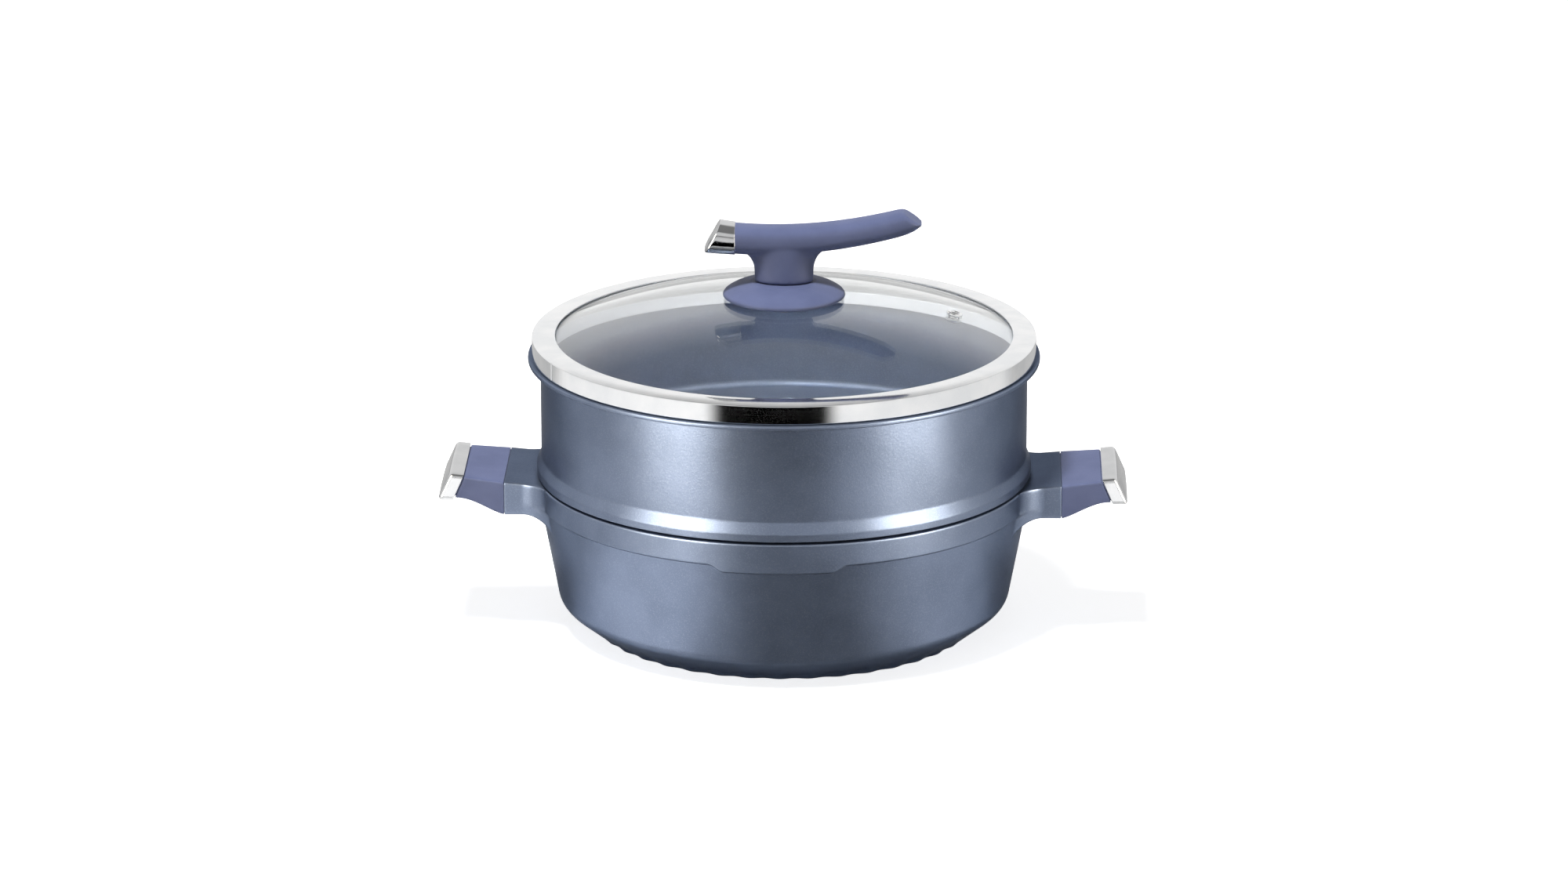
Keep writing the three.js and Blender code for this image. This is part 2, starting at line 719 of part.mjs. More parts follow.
// One side handle, built on +X: grip, end cap, screw and washer.
function handlePieces(side) {
  const screw = panScrew(gripScrewRadius, screwSeat - screwTip, gripScrewHeadRadius, gripScrewHeadHeight);
  const washer = ringOf(gripScrewRadius + threadGap, gripScrewHeadRadius, 0, gripWasherThickness);
  const screwMesh = piece(`${side}_grip_screw`, screw, plain());
  screwMesh.position.set(screwSeat, 0, tangAxis);
  screwMesh.rotation.y = -Math.PI / 2;
  const washerMesh = piece(`${side}_grip_washer`, solidOf(washer), plain());
  washerMesh.position.set(webEnd + seatGap, 0, tangAxis);
  washerMesh.rotation.y = Math.PI / 2;
  const handle = new THREE.Group();
  handle.add(
    piece(`${side}_grip`, grip(), lavender()),
    piece(`${side}_end_cap`, endCap(), chrome()),
    screwMesh,
    washerMesh,
  );
  return handle;
}

function casserole() {
  const pot = new THREE.Group();
  const right = handlePieces('right');
  const left = handlePieces('left');
  left.rotation.z = Math.PI;
  pot.add(
    piece('casserole_body', casseroleBody(), slate()),
    piece('induction_plate', solidOf(rodZ(plateRadius, 0, plateThickness, lidSegments)), plain()),
    right,
    left,
  );
  return pot;
}

function lid() {
  const seal = (low) => solidOf(ringOf(sealInnerRadius, sealOuterRadius, low, low + sealThickness));
  const washer = ringOf(knobScrewRadius + threadGap, knobWasherRadius,
    washerTop - knobWasherThickness, washerTop);
  const insert = ringOf(knobScrewRadius + threadGap, insertRadius,
    insertFoot, insertFoot + insertLength);
  const glass = piece('lid_glass', lidGlass(), finish(0xdfe6e8, 0.05, 0));
  glass.material.transparent = true;
  glass.material.opacity = 0.35;
  const whole = new THREE.Group();
  whole.add(
    glass,
    piece('lid_rim_band', lidRimBand(), polished()),
    piece('vent_grommet', ventGrommet(), polished()),
    piece('knob_base_disc', knobBaseDisc(), lavender()),
    piece('knob_handle', knobHandle(), lavender()),
    piece('knob_tip_cap', knobTipCap(), chrome()),
    piece('knob_insert', solidOf(insert), finish(0xb9974f, 0.35, 1)),
    piece('knob_screw', knobScrew(), plain()),
    piece('knob_washer', solidOf(washer), plain()),
    piece('knob_seal_upper', seal(domeTop + seatGap), silicone()),
    piece('knob_seal_lower', seal(lowerSealTop - sealThickness), silicone()),
  );
  return whole;
}

const cookware = new THREE.Group();
cookware.add(casserole(), piece('steamer_insert', steamerInsert(), slate()), lid());

export default cookware;
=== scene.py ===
"""Looks of a cast casserole with a steamer tier and a domed glass lid.

Sizes are in millimetres until a piece becomes a mesh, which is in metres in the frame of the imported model.
"""

import logging
import math
from abc import ABC, abstractmethod
from dataclasses import dataclass, field, replace
from enum import Enum
from typing import Any

import bmesh
import bpy
import numpy as np
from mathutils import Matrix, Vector


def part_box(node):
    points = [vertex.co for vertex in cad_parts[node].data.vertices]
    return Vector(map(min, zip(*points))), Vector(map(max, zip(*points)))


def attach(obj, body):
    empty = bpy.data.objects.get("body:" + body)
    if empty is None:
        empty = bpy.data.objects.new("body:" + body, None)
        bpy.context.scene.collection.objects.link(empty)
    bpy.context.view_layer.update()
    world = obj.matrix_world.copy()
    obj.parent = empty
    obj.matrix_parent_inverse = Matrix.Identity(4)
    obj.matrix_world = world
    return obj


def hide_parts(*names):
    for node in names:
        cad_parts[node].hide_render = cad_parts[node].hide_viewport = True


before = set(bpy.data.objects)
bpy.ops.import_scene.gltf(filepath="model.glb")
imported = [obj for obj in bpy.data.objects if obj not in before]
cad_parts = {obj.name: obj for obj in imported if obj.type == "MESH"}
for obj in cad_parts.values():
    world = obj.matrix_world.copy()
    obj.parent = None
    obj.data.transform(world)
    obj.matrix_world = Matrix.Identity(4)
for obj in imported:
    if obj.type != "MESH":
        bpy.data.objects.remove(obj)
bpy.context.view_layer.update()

LOG = logging.getLogger("cookware")
MM = 0.001
WELD = 1e-7
FULL_TURN = 2 * math.pi
QUARTER_TURN = math.pi / 2
FINE_ANGLES = 480
SHARP_DEGREES = 35.0
Colour = tuple[float, float, float, float]
Span = tuple[float, float]
Pair = tuple[np.ndarray, np.ndarray]
Inputs = dict[str, Any]
Socket = bpy.types.NodeSocket
Outputs = bpy.types.NodeOutputs
WHITE: Colour = (1, 1, 1, 1)
WARM = (1, 0.93, 0.79)


class Body(Enum):
    """The bodies of the set that move apart."""

    CASSEROLE = "casserole"
    STEAMER = "steamer"
    LID = "lid"


class Slot(Enum):
    """The record's material slots."""

    SLATE = "slate_coating"
    BASE = "base_steel"
    LAVENDER = "lavender_soft_touch"
    CHROME = "chrome_trim"
    FASTENER = "fastener_steel"
    GLASS = "lid_glass"
    RIM = "rim_steel"
    BRASS = "insert_brass"
    SEAL = "seal_silicone"


class Side(Enum):
    """The two handle sides, with the sign of their X."""

    RIGHT = 1
    LEFT = -1

    @property
    def label(self) -> str:
        """The side's name as the nodes spell it."""
        return self.name.lower()


class Joining(Enum):
    """How two closed forms become one."""

    JOIN = "UNION"
    CUT = "DIFFERENCE"


class Texture(Enum):
    """The fine textures of the finishes: a cast or moulded grain, or the lines of a polishing wheel."""

    GRAIN = "grain"
    ROUND = "round_hairlines"
    STRAIGHT = "straight_hairlines"


# Surfaces


@dataclass(frozen=True)
class Skin:
    """A grid of points, rows by columns by 3, that becomes one shell of a piece.

    Rows or columns that loop join their last line to their first. A capped skin closes its first and
    last row with a fan round the row's middle.
    """

    grid: np.ndarray
    loop_rows: bool = False
    loop_columns: bool = True
    capped: bool = False

    def vertices(self) -> np.ndarray:
        """All points in one list, followed by the two fan middles of a capped skin."""
        flat = self.grid.reshape(-1, 3)
        return np.concatenate([flat, self.grid[[0, -1]].mean(axis=1)]) if self.capped else flat

    def faces(self, start: int) -> list[list[int]]:
        """Four-sided faces between neighbouring lines, and the triangles of the fans.

        Args:
            start: number of the skin's first vertex in its piece.

        Returns:
            The faces as lists of vertex numbers.
        """
        rows, columns = self.grid.shape[:2]
        index = start + np.arange(rows * columns).reshape(rows, columns)
        if self.loop_rows:
            index = np.concatenate([index, index[:1]])
        if self.loop_columns:
            index = np.concatenate([index, index[:, :1]], axis=1)
        corners = (index[:-1, :-1], index[:-1, 1:], index[1:, 1:], index[1:, :-1])
        found = np.stack(corners, axis=-1).reshape(-1, 4).tolist()
        if self.capped:
            middle = np.full(index.shape[1] - 1, start + rows * columns)
            found += np.stack([middle, index[0, 1:], index[0, :-1]], axis=-1).tolist()
            found += np.stack([middle + 1, index[-1, :-1], index[-1, 1:]], axis=-1).tolist()
        return found

    def turned_half(self, side: Side) -> "Skin":
        """The same skin on the other side of the pot: a half turn about Z for the left."""
        return replace(self, grid=self.grid * np.array([side.value, side.value, 1]))


def eased(corners: np.ndarray, steps: int = 7) -> np.ndarray:
    """Rounds the corners of an outline.

    Each corner B becomes the parabola (1-t)^2 A + 2t(1-t) B + t^2 C, where A and C lie on the two sides
    that meet there, the corner's ease away from it.

    Args:
        corners: rows of two coordinates and an ease; the first and the last keep an ease of zero on
            an open outline.
        steps: points on each rounding.

    Returns:
        Rows of two coordinates.
    """
    points, ease = corners[:, :2], corners[:, 2:]
    before = np.roll(points, 1, axis=0) - points
    after = np.roll(points, -1, axis=0) - points
    first = points + ease * before / np.linalg.norm(before, axis=1, keepdims=True)
    last = points + ease * after / np.linalg.norm(after, axis=1, keepdims=True)
    t = np.linspace(0, 1, steps)[:, None]
    curve = (1 - t) ** 2 * first[:, None] + 2 * t * (1 - t) * points[:, None] + t ** 2 * last[:, None]
    outline = curve.reshape(-1, 2)
    moved = np.linalg.norm(np.diff(outline, axis=0), axis=1) > WELD
    return outline[np.concatenate([[True], moved])]


def supported(outline: np.ndarray, spacing: float, support: float = 0.35) -> np.ndarray:
    """Adds points on an outline's straight stretches, so that smooth shading stays flat there.

    Every long stretch gets a point a support's length from each end, and others at a steady spacing,
    all read off the outline by its own length.

    Args:
        outline: rows of two coordinates.
        spacing: longest distance between points.
        support: distance of the outermost added points from a stretch's ends.

    Returns:
        Rows of two coordinates.
    """
    lengths = np.linalg.norm(np.diff(outline, axis=0), axis=1)
    along = np.concatenate([[0], np.cumsum(lengths)])
    long = lengths > 3 * support
    regular = np.arange(spacing, along[-1], spacing)
    regular = regular[np.abs(regular[:, None] - along).min(axis=1) > 2 * support]
    stops = np.sort(np.concatenate([along, along[:-1][long] + support, along[1:][long] - support, regular]))
    return np.stack([np.interp(stops, along, outline[:, k]) for k in (0, 1)], axis=1)


def even_angles(count: int) -> np.ndarray:
    """Angles of one full turn, the last one short of the first."""
    return np.linspace(0, FULL_TURN, count, endpoint=False)


def revolved(radius: np.ndarray, height: np.ndarray, angles: np.ndarray) -> np.ndarray:
    """Carries an outline round Z: x = r cos a, y = r sin a, z = h.

    Args:
        radius: radii, per row or per row and column.
        height: heights, in the same shape.
        angles: one angle per column.

    Returns:
        A grid of points, rows by columns by 3.
    """
    shape = np.broadcast_shapes(radius.shape, height.shape, (1, len(angles)))
    radius, height = np.broadcast_to(radius, shape), np.broadcast_to(height, shape)
    return np.stack([radius * np.cos(angles), radius * np.sin(angles), height], axis=-1)


def turned(outline: np.ndarray, count: int) -> np.ndarray:
    """A plain surface of revolution of an outline of radii and heights."""
    return revolved(outline[:, :1], outline[:, 1:], even_angles(count))


def turned_solid(corners: np.ndarray, count: int, spacing: float, steps: int = 7) -> Skin:
    """A solid of revolution whose outline is given by corners that start and end on the axis."""
    return Skin(turned(supported(eased(corners, steps), spacing), count))


def ring_outline(corners: np.ndarray, spacing: float, steps: int = 7) -> np.ndarray:
    """Rounds and supports an outline that closes on itself."""
    outline = eased(corners, steps)
    return supported(np.concatenate([outline, outline[:1]]), spacing)[:-1]


def turned_ring(corners: np.ndarray, count: int, spacing: float, steps: int = 7) -> Skin:
    """A solid of revolution whose outline closes on itself, away from the axis."""
    return Skin(turned(ring_outline(corners, spacing, steps), count), loop_rows=True)


def section_loop(side_points: int, corner_points: int) -> Pair:
    """Unit outline of a rectangle with rounded corners, four quarter rounds joined by straight sides.

    A point of a section is core times the half size less the edge radius, plus arc times that radius.

    Args:
        side_points: points along each side between its corners.
        corner_points: points on each quarter round.

    Returns:
        core and arc, each rows of two values.
    """
    quarter = np.arange(4) * QUARTER_TURN
    turn = quarter[:, None] + np.linspace(0, QUARTER_TURN, corner_points)
    diagonal = quarter + QUARTER_TURN / 2
    corner = np.sign(np.stack([np.cos(diagonal), np.sin(diagonal)], axis=-1))
    share = np.linspace(0, 1, side_points + 2)[1:-1, None]
    side = corner[:, None] + (np.roll(corner, -1, axis=0) - corner)[:, None] * share
    core = np.concatenate([np.repeat(corner[:, None], corner_points, axis=1), side], axis=1)
    held = np.repeat(turn[:, -1:], side_points, axis=1)
    angle = np.concatenate([turn, held], axis=1).ravel()
    return core.reshape(-1, 2), np.stack([np.cos(angle), np.sin(angle)], axis=-1)


def soft_square(count: int, power: float) -> np.ndarray:
    """Unit outline of a superellipse: |y|^p + |z|^p = 1, squarer with a higher power.

    Args:
        count: points on the outline.
        power: the power p.

    Returns:
        Rows of y and z.
    """
    angle = even_angles(count)
    both = np.stack([np.cos(angle), np.sin(angle)], axis=-1)
    return np.sign(both) * np.abs(both) ** (2 / power)


def eased_ends(length: float, first: float, last: float, rows: int, steps: int = 5) -> Pair:
    """Stations along a bar whose two end edges are rounded by a quarter circle.

    Args:
        length: the bar's length.
        first: radius of the first end's edges.
        last: radius of the last end's edges.
        rows: stations between the roundings.
        steps: stations on each rounding.

    Returns:
        Share of the length at each station, and how far the section is drawn in there.
    """
    turn = np.linspace(0, QUARTER_TURN, steps)
    lead, drawn = 1 - np.cos(turn), 1 - np.sin(turn)
    middle = np.linspace(first, length - last, rows + 2)[1:-1]
    along = np.concatenate([first * lead, middle, length - last * lead[::-1]])
    return along / length, np.concatenate([first * drawn, 0 * middle, last * drawn[::-1]])


def smoothstep(value: np.ndarray) -> np.ndarray:
    """Runs from 0 to 1 with level ends: 3v^2 - 2v^3."""
    v = np.clip(value, 0, 1)
    return v * v * (3 - 2 * v)


def read(items: Any, key: str, width: int = 3, kind: type = np.float32) -> np.ndarray:
    """Reads one property of every item of a mesh.

    Args:
        items: the mesh's vertices, faces, corners or normals.
        key: the property.
        width: how many numbers it has.
        kind: the type of its numbers.

    Returns:
        One row of numbers for each item.
    """
    values = np.zeros(width * len(items), dtype=kind)
    items.foreach_get(key, values)
    return values.reshape(-1, width)


def store(mesh: bpy.types.Mesh, name: str, values: np.ndarray) -> None:
    """Stores one value per vertex, which materials read by its name."""
    layer = mesh.attributes.new(name, "FLOAT", "POINT")
    layer.data.foreach_set("value", values.astype(np.float32))


def mark_edges(mesh: bpy.types.Mesh) -> None:
    """Stores how strongly the surface turns at each vertex, for wear and a painted highlight on edges.

    The value is the largest of 1 - n.f over the faces round a vertex, n its normal and f the face's,
    scaled so that a close rounding gives 1.

    Args:
        mesh: the finished mesh.
    """
    sharp_turn = 0.012
    corner_vertex = read(mesh.loops, "vertex_index", 1, np.int32)[:, 0]
    sides = read(mesh.polygons, "loop_total", 1, np.int32)[:, 0]
    face_normal = np.repeat(read(mesh.polygons, "normal"), sides, axis=0)
    vertex_normal = read(mesh.vertex_normals, "vector")[corner_vertex]
    turn = 1 - np.einsum("ij,ij->i", face_normal, vertex_normal)
    most = np.zeros(len(mesh.vertices), dtype=np.float32)
    np.maximum.at(most, corner_vertex, turn)
    store(mesh, "edge", np.clip(most / sharp_turn, 0, 1))


def finished(mesh: bpy.types.Mesh, sharp_degrees: float = SHARP_DEGREES) -> bpy.types.Mesh:
    """Welds a mesh, turns its faces outwards and sets smooth shading with sharp creases.

    Args:
        mesh: the raw mesh, in metres.
        sharp_degrees: edges that turn more than this stay sharp.

    Returns:
        The same mesh.
    """
    shell = bmesh.new()
    shell.from_mesh(mesh)
    bmesh.ops.remove_doubles(shell, verts=shell.verts, dist=WELD)
    bmesh.ops.recalc_face_normals(shell, faces=shell.faces)
    shell.to_mesh(mesh)
    shell.free()
    mesh.shade_smooth()
    mesh.set_sharp_from_angle(angle=math.radians(sharp_degrees))
    mark_edges(mesh)
    return mesh


def mesh_of(name: str, skins: list[Skin]) -> bpy.types.Mesh:
    """Puts skins into one mesh, in metres.

    Args:
        name: the mesh's name.
        skins: the shells.

    Returns:
        The raw mesh.
    """
    points = [skin.vertices() for skin in skins]
    starts = np.cumsum([0] + [len(p) for p in points[:-1]]).tolist()
    faces = [face for skin, start in zip(skins, starts) for face in skin.faces(start)]
    mesh = bpy.data.meshes.new(name)
    mesh.from_pydata((np.concatenate(points) * MM).tolist(), [], faces)
    return mesh


def placed(name: str, mesh: bpy.types.Mesh) -> bpy.types.Object:
    """Puts a mesh into the scene, at the origin.

    Args:
        name: the object's name.
        mesh: its mesh, in place.

    Returns:
        The object.
    """
    obj = bpy.data.objects.new(name, mesh)
    bpy.context.scene.collection.objects.link(obj)
    return obj


def combined(name: str, base: list[Skin], other: list[Skin], joining: Joining) -> bpy.types.Object:
    """Joins or cuts two closed forms.

    Args:
        name: name of the result.
        base: skins of the form that stays.
        other: skins of the form that is joined or cut away.
        joining: which of the two.

    Returns:
        A new object that holds the raw result.
    """
    work, tool = (placed(f"{name}_{part}", mesh_of(name, skins))
                  for part, skins in (("work", base), ("tool", other)))
    for obj in (work, tool):
        finished(obj.data, sharp_degrees=180)
    cut = work.modifiers.new("cut", "BOOLEAN")
    cut.operation = joining.value
    cut.solver = "MANIFOLD"
    cut.object = tool
    bpy.context.view_layer.update()
    mesh = applied(work, name)
    bpy.data.objects.remove(work)
    bpy.data.objects.remove(tool)
    return placed(name, mesh)


def applied(obj: bpy.types.Object, name: str) -> bpy.types.Mesh:
    """Takes an object's mesh with its modifiers applied and without the edge value.

    Args:
        obj: the object; it stays as it is.
        name: the new mesh's name.

    Returns:
        The new mesh.
    """
    graph = bpy.context.evaluated_depsgraph_get()
    mesh = bpy.data.meshes.new_from_object(obj.evaluated_get(graph))
    mesh.name = name
    if "edge" in mesh.attributes:
        mesh.attributes.remove(mesh.attributes["edge"])
    return mesh


def melted(obj: bpy.types.Object, voxel: float, passes: int) -> bpy.types.Mesh:
    """Runs a joined form over with a voxel skin and smooths it, as a moulded piece has soft inner corners.

    Args:
        obj: the joined form; it is removed.
        voxel: size of the new faces, in millimetres.
        passes: smoothing passes.

    Returns:
        The new mesh.
    """
    skin = obj.modifiers.new("skin", "REMESH")
    skin.mode = "VOXEL"
    skin.voxel_size = voxel * MM
    ease = obj.modifiers.new("ease", "SMOOTH")
    ease.factor = 0.5
    ease.iterations = passes
    bpy.context.view_layer.update()
    mesh = applied(obj, obj.name)
    bpy.data.objects.remove(obj)
    return mesh


# Finishes


class Sheet:
    """A node tree that is filled in from left to right."""

    def __init__(self, tree: bpy.types.NodeTree) -> None:
        """Starts on an empty tree."""
        self.tree = tree
        tree.nodes.clear()

    def add(self, kind: str, inputs: dict[Any, Any] | None = None, **settings: Any) -> bpy.types.Node:
        """Adds a node.

        Args:
            kind: the node's type, without its Shader prefix.
            inputs: a value or an output socket for each input, by name or number.
            settings: the node's own settings.

        Returns:
            The node.
        """
        node = self.tree.nodes.new(kind if kind.startswith("NodeGroup") else "ShaderNode" + kind)
        for name, value in settings.items():
            setattr(node, name, value)
        for key, value in (inputs or {}).items():
            if isinstance(value, bpy.types.NodeSocket):
                self.tree.links.new(value, node.inputs[key])
            else:
                node.inputs[key].default_value = value
        return node

    def mix(self, factor: Any, low: Any, high: Any) -> Socket:
        """Mixes two colours by a factor; each may be a value or a socket."""
        return self.add("Mix", {0: factor, 6: low, 7: high}, data_type="RGBA").outputs[2]

    def ranged(self, value: Any, old: Span, new: tuple[Any, Any]) -> Socket:
        """Carries a value from one range into another, held at its ends."""
        ends = {"From Min": old[0], "From Max": old[1], "To Min": new[0], "To Max": new[1]}
        return self.add("MapRange", {"Value": value, **ends}).outputs[0]

    def product(self, first: Socket, second: Socket) -> Socket:
        """Multiplies two values."""
        return self.add("Math", {0: first, 1: second}, operation="MULTIPLY").outputs[0]

    def place(self) -> Socket:
        """Places on a piece, by its own coordinates."""
        return self.add("TexCoord").outputs["Object"]

    def carried(self, name: str) -> Socket:
        """The value that a mesh carries under a name."""
        return self.add("Attribute", attribute_name=name).outputs["Fac"]

    def noise(self, place: Socket, scale: Socket, detail: float, roughness: float = 0.5) -> Socket:
        """Noise over places, with finer layers of a detail and a roughness."""
        inputs = {"Vector": place, "Scale": scale, "Detail": detail, "Roughness": roughness}
        return self.add("TexNoise", inputs).outputs["Fac"]

    def group(self, tree: bpy.types.NodeTree, inputs: Inputs) -> Outputs:
        """Places a shared effect with its own values."""
        return self.add("Group", inputs, node_tree=tree).outputs


def new_material(name: str) -> tuple[bpy.types.Material, Sheet]:
    """Starts a material.

    Args:
        name: the material's name.

    Returns:
        The material and its empty sheet.
    """
    made = bpy.data.materials.new(name)
    made.use_nodes = True
    return made, Sheet(made.node_tree)


class SharedEffects:
    """Shader node groups that several finishes use, each built once.

    A span is the part of a noise that an effect draws on.
    """

    cloud_span: Span = (0.35, 0.65)
    patch_span: Span = (0.35, 0.7)
    texture_span: Span = (0.3, 0.7)
    least_wear_and_highlight: float = 0.25

    def __init__(self) -> None:
        """Builds every group."""
        self.mottle = self._mottle()
        self.wear_and_highlight = self._wear_and_highlight()
        self.textures = {texture: self._texture(texture) for texture in Texture}

    @staticmethod
    def _started(name: str, inputs: dict[str, str], outputs: dict[str, str]) -> tuple[Sheet, Outputs]:
        """Starts a group.

        Args:
            name: the group's name.
            inputs: socket type of each input.
            outputs: socket type of each output.

        Returns:
            The sheet and what the group is given.
        """
        tree = bpy.data.node_groups.new(name, "ShaderNodeTree")
        for way, sockets in (("INPUT", inputs), ("OUTPUT", outputs)):
            for label, kind in sockets.items():
                tree.interface.new_socket(name=label, in_out=way, socket_type=f"NodeSocket{kind}")
        sheet = Sheet(tree)
        return sheet, sheet.add("NodeGroupInput").outputs

    def _mottle(self) -> bpy.types.NodeTree:
        """Cloudy change between two colours, with its mask.

        Returns:
            The group.
        """
        sheet, given = self._started(
            "mottle",
            {"Scale": "Float", "Dark": "Color", "Light": "Color"},
            {"Color": "Color", "Mask": "Float"},
        )
        cloud = sheet.noise(sheet.place(), given["Scale"], detail=4.0)
        mask = sheet.ranged(cloud, self.cloud_span, (0.0, 1.0))
        colour = sheet.mix(mask, given["Dark"], given["Light"])
        sheet.add("NodeGroupOutput", {"Color": colour, "Mask": mask})
        return sheet.tree

    def _wear_and_highlight(self) -> bpy.types.NodeTree:
        """Broken lightening along edges, rubbed wear and a painted highlight, from each mesh's edge value.

        Returns:
            The group.
        """
        sheet, given = self._started(
            "edge_wear",
            {"Scale": "Float", "Amount": "Float"},
            {"Mask": "Float"},
        )
        patches = sheet.noise(sheet.place(), given["Scale"], detail=5.0)
        broken = sheet.ranged(patches, self.patch_span, (self.least_wear_and_highlight, 1.0))
        # edge lightening: partly rubbed wear, partly a painted highlight
        worn_and_highlit = sheet.product(sheet.carried("edge"), broken)
        sheet.add("NodeGroupOutput", {"Mask": sheet.product(worn_and_highlit, given["Amount"])})
        return sheet.tree

    @staticmethod
    def _drawn_out(sheet: Sheet, texture: Texture) -> Socket:
        """Places for a texture's noise, which stay the same along its lines.

        Round lines depend on radius and height alone, straight ones on y and z.

        Args:
            sheet: the group's sheet.
            texture: the texture.

        Returns:
            The places.
        """
        place = sheet.place()
        if texture is Texture.GRAIN:
            return place
        x, y, z = sheet.add("SeparateXYZ", {0: place}).outputs
        if texture is Texture.STRAIGHT:
            return sheet.add("CombineXYZ", {0: y, 1: z}).outputs[0]
        flat = sheet.add("CombineXYZ", {0: x, 1: y}).outputs[0]
        radius = sheet.add("VectorMath", {0: flat}, operation="LENGTH").outputs["Value"]
        return sheet.add("CombineXYZ", {0: radius, 1: z}).outputs[0]

    def _texture(self, texture: Texture) -> bpy.types.NodeTree:
        """Fine texture as a height, with a roughness that follows it.

        Args:
            texture: which texture.

        Returns:
            The group.
        """
        sheet, given = self._started(
            texture.value,
            {"Scale": "Float", "Smooth": "Float", "Rough": "Float"},
            {"Roughness": "Float", "Height": "Float"},
        )
        detail, roughness = (3.0, 0.6) if texture is Texture.GRAIN else (2.0, 0.5)
        height = sheet.noise(self._drawn_out(sheet, texture), given["Scale"], detail, roughness)
        rough = sheet.ranged(height, self.texture_span, (given["Smooth"], given["Rough"]))
        sheet.add("NodeGroupOutput", {"Roughness": rough, "Height": height})
        return sheet.tree


@dataclass(frozen=True)
class Finish(ABC):
    """A finish of the set: its slot, and the two tones that it clouds between."""

    slot: Slot
    dark: Colour
    light: Colour
    cloud_scale: float

    def cloud(self, sheet: Sheet, effects: SharedEffects) -> Outputs:
        """The cloudy tone, as a colour and its mask."""
        inputs = {"Scale": self.cloud_scale, "Dark": self.dark, "Light": self.light}
        return sheet.group(effects.mottle, inputs)

    @abstractmethod
    def dress(self, sheet: Sheet, effects: SharedEffects) -> Inputs:
        """Adds the finish's nodes.

        Args:
            sheet: the material's sheet.
            effects: the shared node groups.

        Returns:
            A value or socket for each input of the surface shader.
        """

    def material(self, effects: SharedEffects) -> bpy.types.Material:
        """Makes the material, a surface shader fed by the finish's nodes.

        Args:
            effects: the shared node groups.

        Returns:
            The material.
        """
        made, sheet = new_material(self.slot.value)
        surface = sheet.add("BsdfPrincipled", self.dress(sheet, effects))
        sheet.add("OutputMaterial", {"Surface": surface.outputs[0]})
        return made


@dataclass(frozen=True)
class TexturedFinish(Finish):
    """A finish with a fine texture, between a smooth and a rough extreme."""

    texture: Texture
    texture_scale: float
    smooth: float
    rough: float
    relief: float
    depth: float

    def textured(self, sheet: Sheet, effects: SharedEffects) -> Inputs:
        """The texture's roughness and relief.

        Args:
            sheet: the material's sheet.
            effects: the shared node groups.

        Returns:
            A socket for each of the two inputs of the surface shader.
        """
        extremes = {"Smooth": self.smooth, "Rough": self.rough}
        fine = sheet.group(effects.textures[self.texture], {"Scale": self.texture_scale, **extremes})
        relief = {"Strength": self.relief, "Distance": self.depth, "Height": fine["Height"]}
        return {"Roughness": fine["Roughness"], "Normal": sheet.add("Bump", relief).outputs[0]}


@dataclass(frozen=True)
class WornAndHighlitFinish(TexturedFinish):
    """A textured finish that is lighter along edges, from rubbed wear and a painted highlight."""

    worn_and_highlit: Colour
    wear_and_highlight_scale: float
    wear_and_highlight_amount: float

    def edges_worn_and_highlit(self, sheet: Sheet, effects: SharedEffects, colour: Socket) -> Socket:
        """The colour lightened along edges by rubbed wear and a painted highlight."""
        # lighter edges: rubbed wear plus a painted highlight
        wear_and_highlight = sheet.group(effects.wear_and_highlight, {"Scale": self.wear_and_highlight_scale, "Amount": self.wear_and_highlight_amount})
        return sheet.mix(wear_and_highlight["Mask"], colour, self.worn_and_highlit)


@dataclass(frozen=True)
class SlateCoating(WornAndHighlitFinish):
    """Satin metallic-flake coating on cast aluminium."""

    slot: Slot = Slot.SLATE
    dark: Colour = (0.142, 0.174, 0.246, 1)
    light: Colour = (0.168, 0.204, 0.286, 1)
    cloud_scale: float = 38.0
    texture: Texture = Texture.GRAIN
    texture_scale: float = 900.0
    smooth: float = 0.29
    rough: float = 0.35
    relief: float = 0.12
    depth: float = 0.0004
    # lighter edge colour: rubbed wear plus a painted highlight
    worn_and_highlit: Colour = (0.36, 0.4, 0.48, 1)
    wear_and_highlight_scale: float = 160.0
    wear_and_highlight_amount: float = 0.25
    flake: Colour = (0.36, 0.4, 0.48, 1)
    flake_scale: float = 2600.0
    flake_share: Span = (0.72, 1.0)
    flake_strength: float = 0.2
    edge_tint: Colour = (0.15, 0.165, 0.2, 1)
    metallic: float = 0.72
    specular: float = 0.25

    def dress(self, sheet: Sheet, effects: SharedEffects) -> Inputs:
        """Cloudy slate, scattered bright flakes, a cast grain, and wear and a painted highlight on edges.

        Args:
            sheet: the material's sheet.
            effects: the shared node groups.

        Returns:
            A value or socket for each input of the surface shader.
        """
        cells = sheet.add("TexVoronoi", {"Vector": sheet.place(), "Scale": self.flake_scale})
        glint = sheet.add("SeparateColor", {0: cells.outputs["Color"]}).outputs[0]
        flakes = sheet.ranged(glint, self.flake_share, (0.0, self.flake_strength))
        colour = sheet.mix(flakes, self.cloud(sheet, effects)["Color"], self.flake)
        return {
            "Base Color": self.edges_worn_and_highlit(sheet, effects, colour),
            "Metallic": self.metallic,
            "Specular Tint": self.edge_tint,
            "Specular IOR Level": self.specular,
            **self.textured(sheet, effects),
        }


